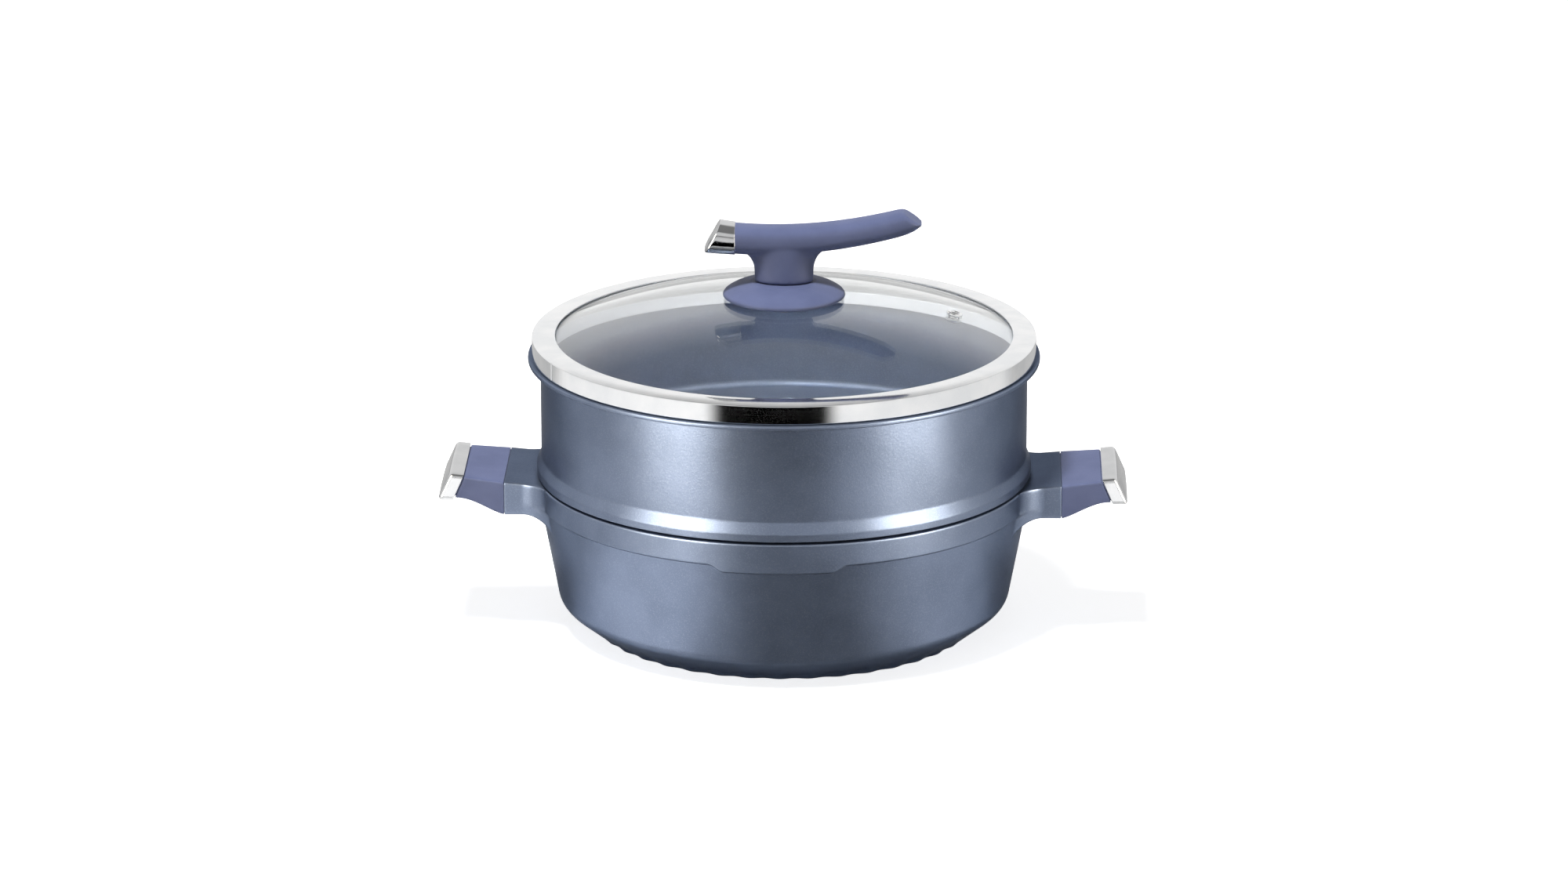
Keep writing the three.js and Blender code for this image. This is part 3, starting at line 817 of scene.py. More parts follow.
@dataclass(frozen=True)
class SoftTouch(WornAndHighlitFinish):
    """Matt lavender soft-touch moulding."""

    slot: Slot = Slot.LAVENDER
    dark: Colour = (0.104, 0.124, 0.23, 1)
    light: Colour = (0.124, 0.146, 0.266, 1)
    cloud_scale: float = 55.0
    texture: Texture = Texture.GRAIN
    texture_scale: float = 2200.0
    smooth: float = 0.5
    rough: float = 0.64
    relief: float = 0.1
    depth: float = 0.0002
    # lighter edge colour: rubbed wear plus a painted highlight
    worn_and_highlit: Colour = (0.2, 0.23, 0.37, 1)
    wear_and_highlight_scale: float = 210.0
    wear_and_highlight_amount: float = 0.3
    specular: float = 0.2
    sheen: float = 0.06
    sheen_roughness: float = 0.5

    def dress(self, sheet: Sheet, effects: SharedEffects) -> Inputs:
        """Quiet lavender with a powdery grain, a little sheen, and wear and a painted highlight on edges."""
        colour = self.cloud(sheet, effects)["Color"]
        return {
            "Base Color": self.edges_worn_and_highlit(sheet, effects, colour),
            "Specular IOR Level": self.specular,
            "Sheen Weight": self.sheen,
            "Sheen Roughness": self.sheen_roughness,
            **self.textured(sheet, effects),
        }


@dataclass(frozen=True)
class BareMetal(TexturedFinish):
    """Polished, plated or turned metal with fine lines and faint smudges."""

    dark: Colour = (0.78, 0.79, 0.8, 1)
    light: Colour = (0.86, 0.86, 0.86, 1)
    cloud_scale: float = 70.0
    texture: Texture = Texture.ROUND
    texture_scale: float = 1800.0
    smooth: float = 0.08
    rough: float = 0.12
    relief: float = 0.03
    depth: float = 0.0001

    def dress(self, sheet: Sheet, effects: SharedEffects) -> Inputs:
        """Metal whose tone clouds a little and whose lines run the finish's way."""
        colour = self.cloud(sheet, effects)["Color"]
        return {"Base Color": colour, "Metallic": 1.0, **self.textured(sheet, effects)}


@dataclass(frozen=True)
class LinedSteel(BareMetal):
    """Polished steel whose inner faces are left satin, where the mesh carries a lining value."""

    satin: float = 0.55
    satin_metallic: float = 0.2
    satin_colour: Colour = (0.62, 0.63, 0.64, 1)

    def dress(self, sheet: Sheet, effects: SharedEffects) -> Inputs:
        """The polished metal, rougher and greyer on the lining.

        Args:
            sheet: the material's sheet.
            effects: the shared node groups.

        Returns:
            A value or socket for each input of the surface shader.
        """
        bare = super().dress(sheet, effects)
        lining = sheet.carried("lining")
        return {
            **bare,
            "Base Color": sheet.mix(lining, bare["Base Color"], self.satin_colour),
            "Roughness": sheet.ranged(lining, (0, 1), (bare["Roughness"], self.satin)),
            "Metallic": sheet.ranged(lining, (0, 1), (bare["Metallic"], self.satin_metallic)),
        }


@dataclass(frozen=True)
class ClearGlass(Finish):
    """Clear tempered glass."""

    slot: Slot = Slot.GLASS
    dark: Colour = (0.93, 0.95, 0.95, 1)
    light: Colour = (0.97, 0.98, 0.98, 1)
    cloud_scale: float = 24.0
    smudge_share: Span = (0.55, 1.0)
    smudge: float = 0.02
    ior: float = 1.5

    def dress(self, sheet: Sheet, effects: SharedEffects) -> Inputs:
        """Nearly colourless glass with a breath of smudges.

        Args:
            sheet: the material's sheet.
            effects: the shared node groups.

        Returns:
            A value or socket for each input of the surface shader.
        """
        cloud = self.cloud(sheet, effects)
        smudge = sheet.ranged(cloud["Mask"], self.smudge_share, (0.0, self.smudge))
        return {
            "Base Color": cloud["Color"],
            "Roughness": smudge,
            "IOR": self.ior,
            "Transmission Weight": 1.0,
        }


@dataclass(frozen=True)
class SealRubber(TexturedFinish):
    """Milky silicone."""

    slot: Slot = Slot.SEAL
    dark: Colour = (0.68, 0.7, 0.72, 1)
    light: Colour = (0.78, 0.8, 0.81, 1)
    cloud_scale: float = 120.0
    texture: Texture = Texture.GRAIN
    texture_scale: float = 1500.0
    smooth: float = 0.45
    rough: float = 0.6
    relief: float = 0.08
    depth: float = 0.0002

    def dress(self, sheet: Sheet, effects: SharedEffects) -> Inputs:
        """Milky silicone with a soft grain."""
        return {"Base Color": self.cloud(sheet, effects)["Color"], **self.textured(sheet, effects)}


SLATE = SlateCoating()
LAVENDER = SoftTouch()
GLASS = ClearGlass()
SILICONE = SealRubber()
RIM_STEEL = LinedSteel(Slot.RIM)
CHROME = BareMetal(Slot.CHROME, dark=(0.48, 0.485, 0.49, 1), light=(0.54, 0.54, 0.545, 1),
                   texture=Texture.STRAIGHT, smooth=0.04, rough=0.08)
ZINC = BareMetal(Slot.FASTENER, dark=(0.5, 0.51, 0.53, 1), light=(0.62, 0.62, 0.62, 1),
                 smooth=0.28, rough=0.42)
PLATE_STEEL = BareMetal(Slot.BASE, dark=(0.5, 0.5, 0.51, 1), light=(0.62, 0.62, 0.63, 1),
                        texture_scale=900.0, smooth=0.25, rough=0.45, relief=0.2)
BRASS = BareMetal(Slot.BRASS, dark=(0.62, 0.46, 0.2, 1), light=(0.74, 0.57, 0.28, 1),
                  smooth=0.2, rough=0.35)


class Workshop:
    """Makes each finish once and hangs the finished pieces on their bodies."""

    def __init__(self) -> None:
        """Builds the shared effects."""
        self.effects = SharedEffects()
        self.made: dict[Slot, bpy.types.Material] = {}

    def material(self, finish: Finish) -> bpy.types.Material:
        """Gives the finish's material, made on first use.

        Args:
            finish: the finish.

        Returns:
            The material.
        """
        if finish.slot not in self.made:
            self.made[finish.slot] = finish.material(self.effects)
        return self.made[finish.slot]

    def dress(self, obj: bpy.types.Object, finish: Finish) -> None:
        """Gives a piece its finish in place of what it had."""
        obj.data.materials.clear()
        obj.data.materials.append(self.material(finish))

    def mount(self, obj: bpy.types.Object, finish: Finish, body: Body, *nodes: str) -> None:
        """Dresses a piece, hangs it on a body and hides the CAD nodes that it stands for.

        Args:
            obj: the piece, in place.
            finish: its finish.
            body: the body that carries it.
            nodes: the CAD nodes that it stands for.
        """
        self.dress(obj, finish)
        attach(obj, body.value)
        if nodes:
            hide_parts(*nodes)
        LOG.info("%s: %d faces, %s", obj.name, len(obj.data.polygons), finish.slot.value)

    def build(self, name: str, skins: list[Skin], finish: Finish, body: Body, *nodes: str,
              sharp_degrees: float = SHARP_DEGREES) -> bpy.types.Object:
        """Makes a piece of skins and mounts it.

        Args:
            name: the piece's name.
            skins: its shells.
            finish: its finish.
            body: the body that carries it.
            nodes: the CAD nodes that it stands for.
            sharp_degrees: edges that turn more than this stay sharp.

        Returns:
            The piece.
        """
        obj = placed(name, finished(mesh_of(name, skins), sharp_degrees))
        self.mount(obj, finish, body, *nodes)
        return obj

    def dress_node(self, node: str, finish: Finish) -> None:
        """Gives a CAD node that stays in view its finish."""
        self.dress(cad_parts[node], finish)
        LOG.info("%s: kept, %s", node, finish.slot.value)


# Sub-assemblies


@dataclass
class Casserole:
    """The cast pot with its rim band, front plaque and fluted foot, and the plate under it."""

    height: float = 79.4
    bore: float = 120.0
    wall: float = 4.2
    floor: float = 6.0
    taper: float = 9.6
    wall_start: float = 16.0
    foot_inset: float = 17.7
    foot_rise: float = 2.5
    foot_flare: float = 2.6
    foot_corner: tuple[float, float, float] = (114.24, 14.11, 3.6)
    scallops: int = 40
    scallop_depth: float = 1.3
    scallop_reach: Span = (90.0, 95.0)
    scallop_top: float = 8.0
    rim_thickness: float = 5.5
    band_height: float = 11.6
    band_step: float = 0.8
    inner_corner: float = 12.0
    plaque_drop: float = 3.4
    plaque_half_width: float = 27.2
    plaque_slope: float = 7.1
    plaque_fade: float = 28.0
    plaque_hold: float = 5.0
    plaque_margin: float = 2.0
    plate_radius: float = 84.0
    plate_thickness: float = 1.6
    plate_edge: float = 0.4
    plate_margin: float = 1.0
    plate_angles: int = 180
    gap: float = 0.3
    groove_pitch: float = 3.0
    groove_depth: float = 0.25
    groove_steps: int = 6

    @property
    def rim_radius(self) -> float:
        """Outer radius of the rim band."""
        return self.bore + self.rim_thickness

    @property
    def top_radius(self) -> float:
        """Outer radius of the wall under the rim band."""
        return self.bore + self.wall

    @property
    def band_foot(self) -> float:
        """Height of the rim band's lower edge."""
        return self.height - self.band_height

    @property
    def slope(self) -> float:
        """How much the wall's radius grows with height."""
        return self.taper / (self.band_foot - self.band_step - self.wall_start)

    def wall_radius(self, z: np.ndarray) -> np.ndarray:
        """Outer radius of wall and band at a height."""
        step = self.band_foot - self.band_step
        return np.interp(z, [self.wall_start, step, self.band_foot],
                         [self.top_radius - self.taper, self.top_radius, self.rim_radius])

    def outline(self) -> np.ndarray:
        """The pot's half section, from the plate's recess round the outside and down the inside.

        Returns:
            Rows of radius and height.
        """
        edge = self.top_radius - self.taper - self.foot_inset
        recess = self.plate_thickness + self.gap
        inner_foot = self.top_radius - self.wall - self.slope * (self.band_foot - self.floor)
        corners = np.array([
            (0, recess, 0),
            (self.plate_radius + self.gap, recess, 0.3),
            (self.plate_radius + self.gap, 0, 0.4),
            (edge, 0, 0.5),
            (edge + self.foot_flare, self.foot_rise, 0.8),
            self.foot_corner,
            (self.top_radius, self.band_foot - self.band_step, 0.5),
            (self.rim_radius, self.band_foot, 0.4),
            (self.rim_radius, self.height, 1.1),
            (self.bore, self.height, 0.9),
            (self.bore, self.band_foot, 1.5),
            (inner_foot, self.floor, self.inner_corner),
            (0, self.floor, 0),
        ])
        return supported(eased(corners), spacing=6.0)

    def pot(self) -> Skin:
        """The pot: its half section turned, with the band let down at the plaque and the foot fluted.

        A point near the band's foot sinks by the plaque's drop times a mask that is 1 across the front and
        falls to 0 over the plaque's slanted ends. The foot's edge is drawn in by half of 1 - cos(na).

        Returns:
            The closed skin.
        """
        outline = self.outline()
        radius, z = outline[:, :1], outline[:, 1:]
        angles = even_angles(FINE_ANGLES)
        outside = radius > self.wall_radius(z) - self.wall / 2
        across = np.abs(self.rim_radius * np.cos(angles))
        front = np.sin(angles) < 0
        mask = front * smoothstep((self.plaque_half_width + self.plaque_slope - across) / self.plaque_slope)
        stops = [self.band_foot - self.plaque_fade, self.band_foot - self.plaque_hold,
                 self.band_foot + self.plaque_margin, self.height - self.plaque_margin]
        reach = np.interp(z, stops, [0, 1, 1, 0])
        sink = self.plaque_drop * mask * reach * outside
        on_wall = np.interp(radius, [self.top_radius, self.rim_radius], [1, 0])
        foot_edge = np.interp(radius, self.scallop_reach, [0, 1])
        foot_edge = foot_edge * np.interp(z, [self.foot_rise, self.scallop_top], [1, 0])
        flute = self.scallop_depth * foot_edge * (1 - np.cos(self.scallops * angles)) / 2
        return Skin(revolved(radius - self.slope * sink * on_wall - flute, z - sink, angles))

    def plate(self) -> Skin:
        """The steel disc under the pot: a turned face whose grooves are a cosine of the radius.

        Returns:
            The closed skin.
        """
        step = self.groove_pitch / self.groove_steps
        radius = np.arange(0, self.plate_radius - self.plate_margin, step)[:, None]
        face = self.groove_depth * (1 - np.cos(FULL_TURN * radius / self.groove_pitch)) / 2
        rim = np.array([
            (self.plate_radius - self.plate_edge, 0),
            (self.plate_radius, self.plate_edge),
            (self.plate_radius, self.plate_thickness),
            (0, self.plate_thickness),
        ])
        outline = np.concatenate([np.concatenate([radius, face], axis=1), rim])
        return Skin(turned(outline, self.plate_angles))

    def build(self, workshop: Workshop) -> None:
        """Builds the pot and its plate."""
        workshop.build("cast_pot", [self.pot()], SLATE, Body.CASSEROLE, "casserole_body")
        workshop.build("base_plate", [self.plate()], PLATE_STEEL, Body.CASSEROLE, "induction_plate")


@dataclass
class SideHandle:
    """One side handle: cast arm, soft grip and chrome end cap, drawn on +X and turned for the left."""

    side: Side
    pot: Casserole
    arm_length: float = 14.9
    grip_length: float = 19.8
    cap_length: float = 7.4
    grip_lean: float = 5.2
    cap_lean: float = 0.3
    rise: float = 4.2
    arm_thickness: float = 17.2
    end_thickness: float = 12.0
    under_rise: float = 0.8
    arm_half_width: float = 30.5
    end_half_width: float = 28.0
    end_bow: float = 0.3
    end_reach: float = 1.2
    cap_proud: float = 0.7
    joint_gap: float = 0.3
    cap_gap: float = 0.7
    plug_length: float = 1.2
    plug_inset: float = 0.8
    root_flare: float = 10.0
    root_drop: float = 8.0
    root_share: float = 0.55
    behind_wall: float = 0.08
    flush: float = 0.05
    edge: float = 1.1
    joint_edge: float = 0.25
    end_edge: float = 1.8
    rows: int = 14
    settling: int = 4

    @property
    def arm_end(self) -> float:
        """Where the grip begins."""
        return self.pot.rim_radius + self.arm_length

    @property
    def grip_end(self) -> float:
        """Where the cap begins, along the top."""
        return self.arm_end + self.grip_length

    @property
    def handle_end(self) -> float:
        """Where the cap ends, along the top."""
        return self.grip_end + self.cap_length

    @property
    def end_top(self) -> float:
        """Height of the handle's end."""
        return self.pot.height + self.rise

    def top_at(self, x: np.ndarray) -> np.ndarray:
        """Height of the straight rising top."""
        span = self.handle_end - self.pot.rim_radius
        return self.pot.height + self.rise * (x - self.pot.rim_radius) / span

    def under_at(self, x: np.ndarray) -> np.ndarray:
        """Height of the underside: level at the arm's end, then an S-shaped rise to the cap's.

        Args:
            x: places along the handle.

        Returns:
            The height at each.
        """
        low = self.top_at(self.arm_end) - self.arm_thickness
        high = self.end_top - self.end_thickness
        reach = self.grip_end + self.grip_lean
        t = np.clip((x - self.arm_end) / (reach - self.arm_end), 0, 1)
        return low + (high - low) * smoothstep(t ** self.under_rise)

    def section(self, half_width: np.ndarray, top: np.ndarray, under: np.ndarray) -> Pair:
        """Points round a section with flat sides and small round edges.

        Args:
            half_width: half the section's width, one value per row.
            top: height of its top.
            under: height of its underside.

        Returns:
            y and z, rows by points.
        """
        core, arc = section_loop(side_points=12, corner_points=6)
        y = core[:, 0] * (half_width - self.edge) + arc[:, 0] * self.edge
        z = (top + under) / 2 + core[:, 1] * ((top - under) / 2 - self.edge) + arc[:, 1] * self.edge
        return y, z

    def plugged(self, share: np.ndarray, drawn: np.ndarray, length: float) -> Pair:
        """Adds the plug behind a slab's outer end, which closes the joint to the next piece.

        Args:
            share: the slab's stations, as shares of its length.
            drawn: how far the section is drawn in at each.
            length: the slab's length.

        Returns:
            Both with the plug's two stations, as columns.
        """
        share = np.concatenate([share, [1, 1 + self.plug_length / length]])
        return share[:, None], np.concatenate([drawn, [self.plug_inset] * 2])[:, None]

    def arm(self) -> Skin:
        """The cast arm: sections carried straight from the pot's wall to the grip's joint.

        A point is wall + (end - wall) s, with the wall's own curve at its y and z. Towards the wall the
        section widens and deepens by 1 - sqrt(1 - (1 - s/r)^2), a quarter round that meets the wall level.
        Behind the wall's face the root closes on one point in the middle of the wall.

        Returns:
            The closed skin.
        """
        stations = eased_ends(self.arm_length, self.joint_edge, self.joint_edge, 2 * self.rows)
        share, drawn = self.plugged(*stations, self.arm_length)
        share = np.concatenate([[[-self.behind_wall]], share])
        drawn = np.where(share < self.root_share, 0, np.concatenate([[[0]], drawn]))
        run = np.clip(share, 0, 1)
        flare = 1 - np.sqrt(1 - np.clip(1 - run / self.root_share, 0, 1) ** 2)
        level = self.pot.rim_radius + self.arm_length * run
        top = self.top_at(level) - self.flush * (1 - run) - drawn
        under = self.top_at(self.arm_end) - self.arm_thickness - self.root_drop * flare + drawn
        y, z = self.section(self.arm_half_width + self.root_flare * flare - drawn, top, under)
        wall = np.sqrt(self.pot.wall_radius(z) ** 2 - y ** 2)
        grid = np.stack([wall + (self.arm_end - wall) * share, y, z], axis=-1)
        core = (self.pot.bore + self.pot.rim_thickness / 2, 0, z[0].mean())
        return Skin(np.concatenate([np.broadcast_to(core, grid[:1].shape), grid]), capped=True)

    def slab(self, start: float, end: float, lean: Span, last_edge: float, proud: float = 0,
             bow: float = 0, plug: bool = False) -> Skin:
        """A slab of the handle between two joints that lean outwards below.

        A point is start + (end - start) s + lean (top - z) / thickness - bow s (y / width)^2. Its height
        depends on its place and its place on its height, so both settle in a few passes.

        Args:
            start: where the slab begins along the top.
            end: where it ends along the top.
            lean: how much further out its two ends lie at the handle's underside.
            last_edge: radius of its outer end's edges.
            proud: how far it stands out from the handle's form.
            bow: how much its outer end bulges.
            plug: whether it reaches into the next piece.

        Returns:
            The closed skin.
        """
        share, drawn = eased_ends(end - start, self.joint_edge, last_edge, self.rows)
        share, drawn = self.plugged(share, drawn, end - start) if plug else (share[:, None], drawn[:, None])
        straight = start + (end - start) * share
        leaning = lean[0] + (lean[1] - lean[0]) * share
        ends, widths = (self.arm_end, self.grip_end), (self.arm_half_width, self.end_half_width)
        x = straight
        for _ in range(self.settling):
            half_width = np.interp(x, ends, widths) + proud - drawn
            top, under = self.top_at(x) + proud - drawn, self.under_at(x) - proud + drawn
            y, z = self.section(half_width, top, under)
            bulge = bow * share * (y / half_width) ** 2
            x = straight + leaning * (self.end_top - z) / self.end_thickness - bulge
        return Skin(np.stack([x, y, z], axis=-1), capped=True)

    def build(self, workshop: Workshop) -> None:
        """Builds arm, grip and cap, and dresses the screw and washer inside.

        Args:
            workshop: makes and mounts the pieces.
        """
        name = self.side.label
        grip = self.slab(self.arm_end + self.joint_gap, self.grip_end, lean=(0, self.grip_lean),
                         last_edge=self.joint_edge, plug=True)
        cap = self.slab(self.grip_end + self.cap_gap, self.handle_end + self.end_reach,
                        lean=(self.grip_lean, self.grip_lean + self.cap_lean),
                        last_edge=self.end_edge, proud=self.cap_proud, bow=self.end_bow)
        for label, skin, finish, nodes in (
            ("cast_arm", self.arm(), SLATE, ()),
            ("soft_grip", grip, LAVENDER, (f"{name}_grip",)),
            ("chrome_cap", cap, CHROME, (f"{name}_end_cap",)),
        ):
            workshop.build(f"{name}_{label}", [skin.turned_half(self.side)], finish, Body.CASSEROLE, *nodes)
        workshop.dress_node(f"{name}_grip_screw", ZINC)
        workshop.dress_node(f"{name}_grip_washer", ZINC)


@dataclass
class SteamerTier:
    """The steamer: a cast ring with flange, lip and locating ring, and a perforated floor."""

    pot: Casserole
    wall: float = 3.0
    height: float = 61.5
    flange_out: float = 2.3
    flange_face: float = 4.7
    flange_chamfer: float = 5.5
    groove_depth: float = 2.6
    groove_height: float = 0.9
    floor_height: float = 9.2
    floor_thickness: float = 3.0
    floor_corner: float = 4.0
    ring_play: float = 0.6
    ring_depth: float = 6.5
    ring_thickness: float = 3.0
    lip_out: float = 6.3
    lip_thickness: float = 2.4
    hole_radius: float = 4.5
    hole_chamfer: float = 0.7
    hole_rings: int = 3
    holes_in_first_ring: int = 8
    hole_ring_step: float = 30.0
    hole_overrun: float = 1.0
    hole_angles: int = 40

    @property
    def base(self) -> float:
        """Height of the flange's underside, which stands on the pot's rim."""
        return self.pot.height + self.pot.gap

    @property
    def bore(self) -> float:
        """Inner radius, the pot's own."""
        return self.pot.bore

    def tier(self) -> Skin:
        """The tier's half section, turned: floor, locating ring, flange, wall, lip and the inside.

        Returns:
            The closed skin.
        """
        radius = self.bore + self.wall
        ring = self.bore - self.ring_play
        flange = radius + self.flange_out
        lip = radius + self.lip_out
        top = self.base + self.height
        floor = self.base + self.floor_height
        under = floor - self.floor_thickness
        return turned_solid(np.array([
            (0, under, 0),
            (ring - self.ring_thickness, under, 1.5),
            (ring - self.ring_thickness, self.base - self.ring_depth, 0.6),
            (ring, self.base - self.ring_depth, 0.6),
            (ring, self.base, 0.3),
            (flange - self.groove_depth, self.base, 0.3),
            (flange - self.groove_depth, self.base + self.groove_height, 0.3),
            (flange, self.base + self.groove_height, 0.4),
            (flange, self.base + self.flange_face, 0.6),
            (radius, self.base + self.flange_face + self.flange_chamfer, 0.9),
            (radius, top - self.lip_thickness, 1.0),
            (lip, top - self.lip_thickness, 0.9),
            (lip, top, 0.9),
            (self.bore, top, 0.6),
            (self.bore, floor, self.floor_corner),
            (0, floor, 0),
        ]), FINE_ANGLES, spacing=8.0)

    def pins(self) -> list[Skin]:
        """One chamfered pin for each hole of the floor, on rings about the middle one.

        Returns:
            The pins' closed skins.
        """
        top = self.base + self.floor_height
        under = top - self.floor_thickness
        wide = self.hole_radius + self.hole_chamfer
        pin = turned(np.array([
            (0, under - self.hole_overrun),
            (wide, under - self.hole_overrun),
            (wide, under),
            (self.hole_radius, under + self.hole_chamfer),
            (self.hole_radius, top - self.hole_chamfer),
            (wide, top),
            (wide, top + self.hole_overrun),
            (0, top + self.hole_overrun),
        ]), self.hole_angles)
        rings = np.arange(1, self.hole_rings + 1)
        counts = self.holes_in_first_ring * rings
        reach = self.hole_ring_step * np.repeat(rings, counts)
        turn = np.concatenate([even_angles(count) for count in counts])
        middles = np.stack([reach * np.cos(turn), reach * np.sin(turn), 0 * turn], axis=-1)
        return [Skin(pin)] + [Skin(pin + middle) for middle in middles]

    def build(self, workshop: Workshop) -> None:
        """Builds the perforated tier.

        Args:
            workshop: makes and mounts the pieces.
        """
        tier = combined("steamer_tier", [self.tier()], self.pins(), Joining.CUT)
        finished(tier.data)
        workshop.mount(tier, SLATE, Body.STEAMER, "steamer_insert")


@dataclass
class GlassLid:
    """The domed glass with its steel rim band and the vent's eyelet."""

    tier: SteamerTier
    band_out: float = 4.3
    band_height: float = 9.2
    sheet: float = 0.8
    crown: float = 1.0
    shoulder_rise: float = 0.2
    shoulder_drop: float = 0.6
    ring_width: float = 11.7
    skirt_play: float = 0.6
    skirt_depth: float = 6.2
    gap: float = 0.3
    thickness: float = 4.0
    rise: float = 21.0
    screw_hole: float = 4.6
    vent_radius: float = 86.0
    vent_turn: float = 3.0
    vent_bore: float = 2.0
    vent_tube: float = 0.7
    vent_flange: float = 4.1
    vent_height: float = 1.3
    seam_degrees: float = 206.0
    seam_width: float = 0.5
    seam_depth: float = 0.14
    steel_sharp: float = 50.0
    glass_steps: int = 40
    glass_angles: int = 240
    vent_angles: int = 64
    drill_angles: int = 48

    @property
    def seat(self) -> float:
        """Height of the band's underside, which stands on the steamer's lip."""
        return self.tier.base + self.tier.height + self.gap

    @property
    def band_radius(self) -> float:
        """Outer radius of the band."""
        return self.tier.bore + self.tier.wall + self.band_out

    @property
    def skirt(self) -> float:
        """Outer radius of the skirt, which hangs in the steamer's mouth."""
        return self.tier.bore - self.skirt_play

    @property
    def ring_inner(self) -> float:
        """Inner radius of the steel ring."""
        return self.band_radius - self.ring_width

    @property
    def ring_top(self) -> float:
        """Height of the steel ring's crown."""
        return self.seat + self.band_height + self.crown

    @property
    def dome_radius(self) -> float:
        """Radius of the dome's outer face, from its rise over the steel ring."""
        return (self.ring_inner ** 2 + self.rise ** 2) / (2 * self.rise)

    @property
    def dome_top(self) -> float:
        """Height of the dome's highest point."""
        return self.ring_top - self.sheet - self.gap + self.rise

    @property
    def dome_centre(self) -> float:
        """Height of the dome's centre."""
        return self.dome_top - self.dome_radius

    def glass(self) -> Skin:
        """The glass: caps of two spheres, r = R sin a and z = c + R cos a, joined at edge and hole.

        Returns:
            The closed skin.
        """
        edge = self.band_radius - self.sheet - self.gap
        seat = self.seat + self.sheet + self.gap
        inner = self.dome_radius - self.thickness
        under = math.sqrt(inner ** 2 - (seat - self.dome_centre) ** 2)
        steps = np.linspace(0, 1, self.glass_steps)[:, None]
        caps = []
        for radius, reach in ((self.dome_radius, edge), (inner, min(under, edge - self.gap))):
            first, last = math.asin(self.screw_hole / radius), math.asin(reach / radius)
            angle = first + (last - first) * steps
            height = self.dome_centre + radius * np.cos(angle)
            caps.append(np.concatenate([radius * np.sin(angle), height], axis=1))
        outline = np.concatenate([caps[0], [(edge, seat)], caps[1][::-1]])
        return Skin(turned(outline, self.glass_angles), loop_rows=True)

    def band(self) -> Skin:
        """The rim band: one strip of steel turned, with a shallow weld seam across its outer wall.

        The seam draws points of the outer wall in by its depth times exp(-(a/w)^2).

        Returns:
            The closed skin.
        """
        top = self.seat + self.band_height
        middle = (self.ring_inner + self.band_radius) / 2
        inside = self.skirt - self.sheet
        outline = ring_outline(np.array([
            (self.ring_inner, self.ring_top, 0.3),
            (middle, self.ring_top, 4.0),
            (self.band_radius, top + self.shoulder_rise, 0.35),
            (self.band_radius, self.seat, 0.5),
            (self.skirt, self.seat, 0.3),
            (self.skirt, self.seat - self.skirt_depth, 0.35),
            (inside, self.seat - self.skirt_depth, 0.35),
            (inside, self.seat + self.sheet, 0.3),
            (self.band_radius - self.sheet, self.seat + self.sheet, 0.3),
            (self.band_radius - self.sheet, top - self.shoulder_drop, 0.4),
            (middle, self.ring_top - self.sheet, 3.4),
            (self.ring_inner, self.ring_top - self.sheet, 0.3),
        ]), spacing=3.0)
        seam = math.radians(self.seam_degrees)
        half = self.seam_width / self.band_radius
        angles = np.sort(np.concatenate([even_angles(FINE_ANGLES), seam + half * np.linspace(-2, 2, 9)]))
        radius = outline[:, :1]
        outer = smoothstep((radius - middle) / (self.band_radius - middle)) * (outline[:, 1:] >= self.seat)
        dent = self.seam_depth * np.exp(-(((angles - seam) / half) ** 2))
        return Skin(revolved(radius - outer * dent, outline[:, 1:], angles), loop_rows=True)

    def mark_lining(self, mesh: bpy.types.Mesh) -> None:
        """Stores 1 on the rim band's inner faces and 0 on its polished outside.

        Args:
            mesh: the band's mesh.
        """
        points = read(mesh.vertices, "co") / MM
        radius = np.hypot(points[:, 0], points[:, 1])
        crown = np.interp(radius, [self.ring_inner + self.ring_width / 2, self.band_radius],
                          [self.ring_top, self.ring_top - 2 * self.crown])
        inside = (points[:, 2] < crown - self.sheet / 2) & (radius < self.band_radius - self.sheet / 2)
        store(mesh, "lining", inside)

    def on_dome(self, grid: np.ndarray) -> np.ndarray:
        """Stands points on the dome at the vent, their own Z along the glass's normal.

        Args:
            grid: points about the origin.

        Returns:
            The points tilted about Y, moved out to the vent and turned about Z.
        """
        tilt = math.asin(self.vent_radius / self.dome_radius)
        turn = math.radians(self.vent_turn)
        x = grid[..., 0] * math.cos(tilt) + grid[..., 2] * math.sin(tilt) + self.vent_radius
        z = grid[..., 2] * math.cos(tilt) - grid[..., 0] * math.sin(tilt)
        z = z + self.dome_centre + self.dome_radius * math.cos(tilt)
        y = grid[..., 1]
        cos, sin = math.cos(turn), math.sin(turn)
        return np.stack([x * cos - y * sin, x * sin + y * cos, z], axis=-1)

    def eyelet(self) -> Skin:
        """The vent's eyelet: a rolled tube with a flange on each face of the glass.

        Returns:
            The closed skin.
        """
        low, high = -self.thickness - self.gap, self.gap
        tube = self.vent_bore + self.vent_tube
        ring = turned_ring(np.array([
            (self.vent_bore, low - self.vent_height, 0.3),
            (self.vent_flange, low - self.vent_height, 0.35),
            (self.vent_flange, low, 0.1),
            (tube, low, 0.1),
            (tube, high, 0.1),
            (self.vent_flange, high, 0.1),
            (self.vent_flange, high + self.vent_height, 1.0),
            (self.vent_bore, high + self.vent_height, 0.9),
        ]), self.vent_angles, spacing=1.0, steps=6)
        return Skin(self.on_dome(ring.grid), loop_rows=True)

    def vent_pin(self) -> Skin:
        """The pin that drills the vent through the glass: a rod turned, then stood on the dome.

        Returns:
            The closed skin.
        """
        reach = 2 * self.thickness
        radius = self.vent_bore + self.vent_tube + self.gap
        outline = np.array([(0, -reach), (radius, -reach), (radius, reach), (0, reach)])
        return Skin(self.on_dome(turned(outline, self.drill_angles)))

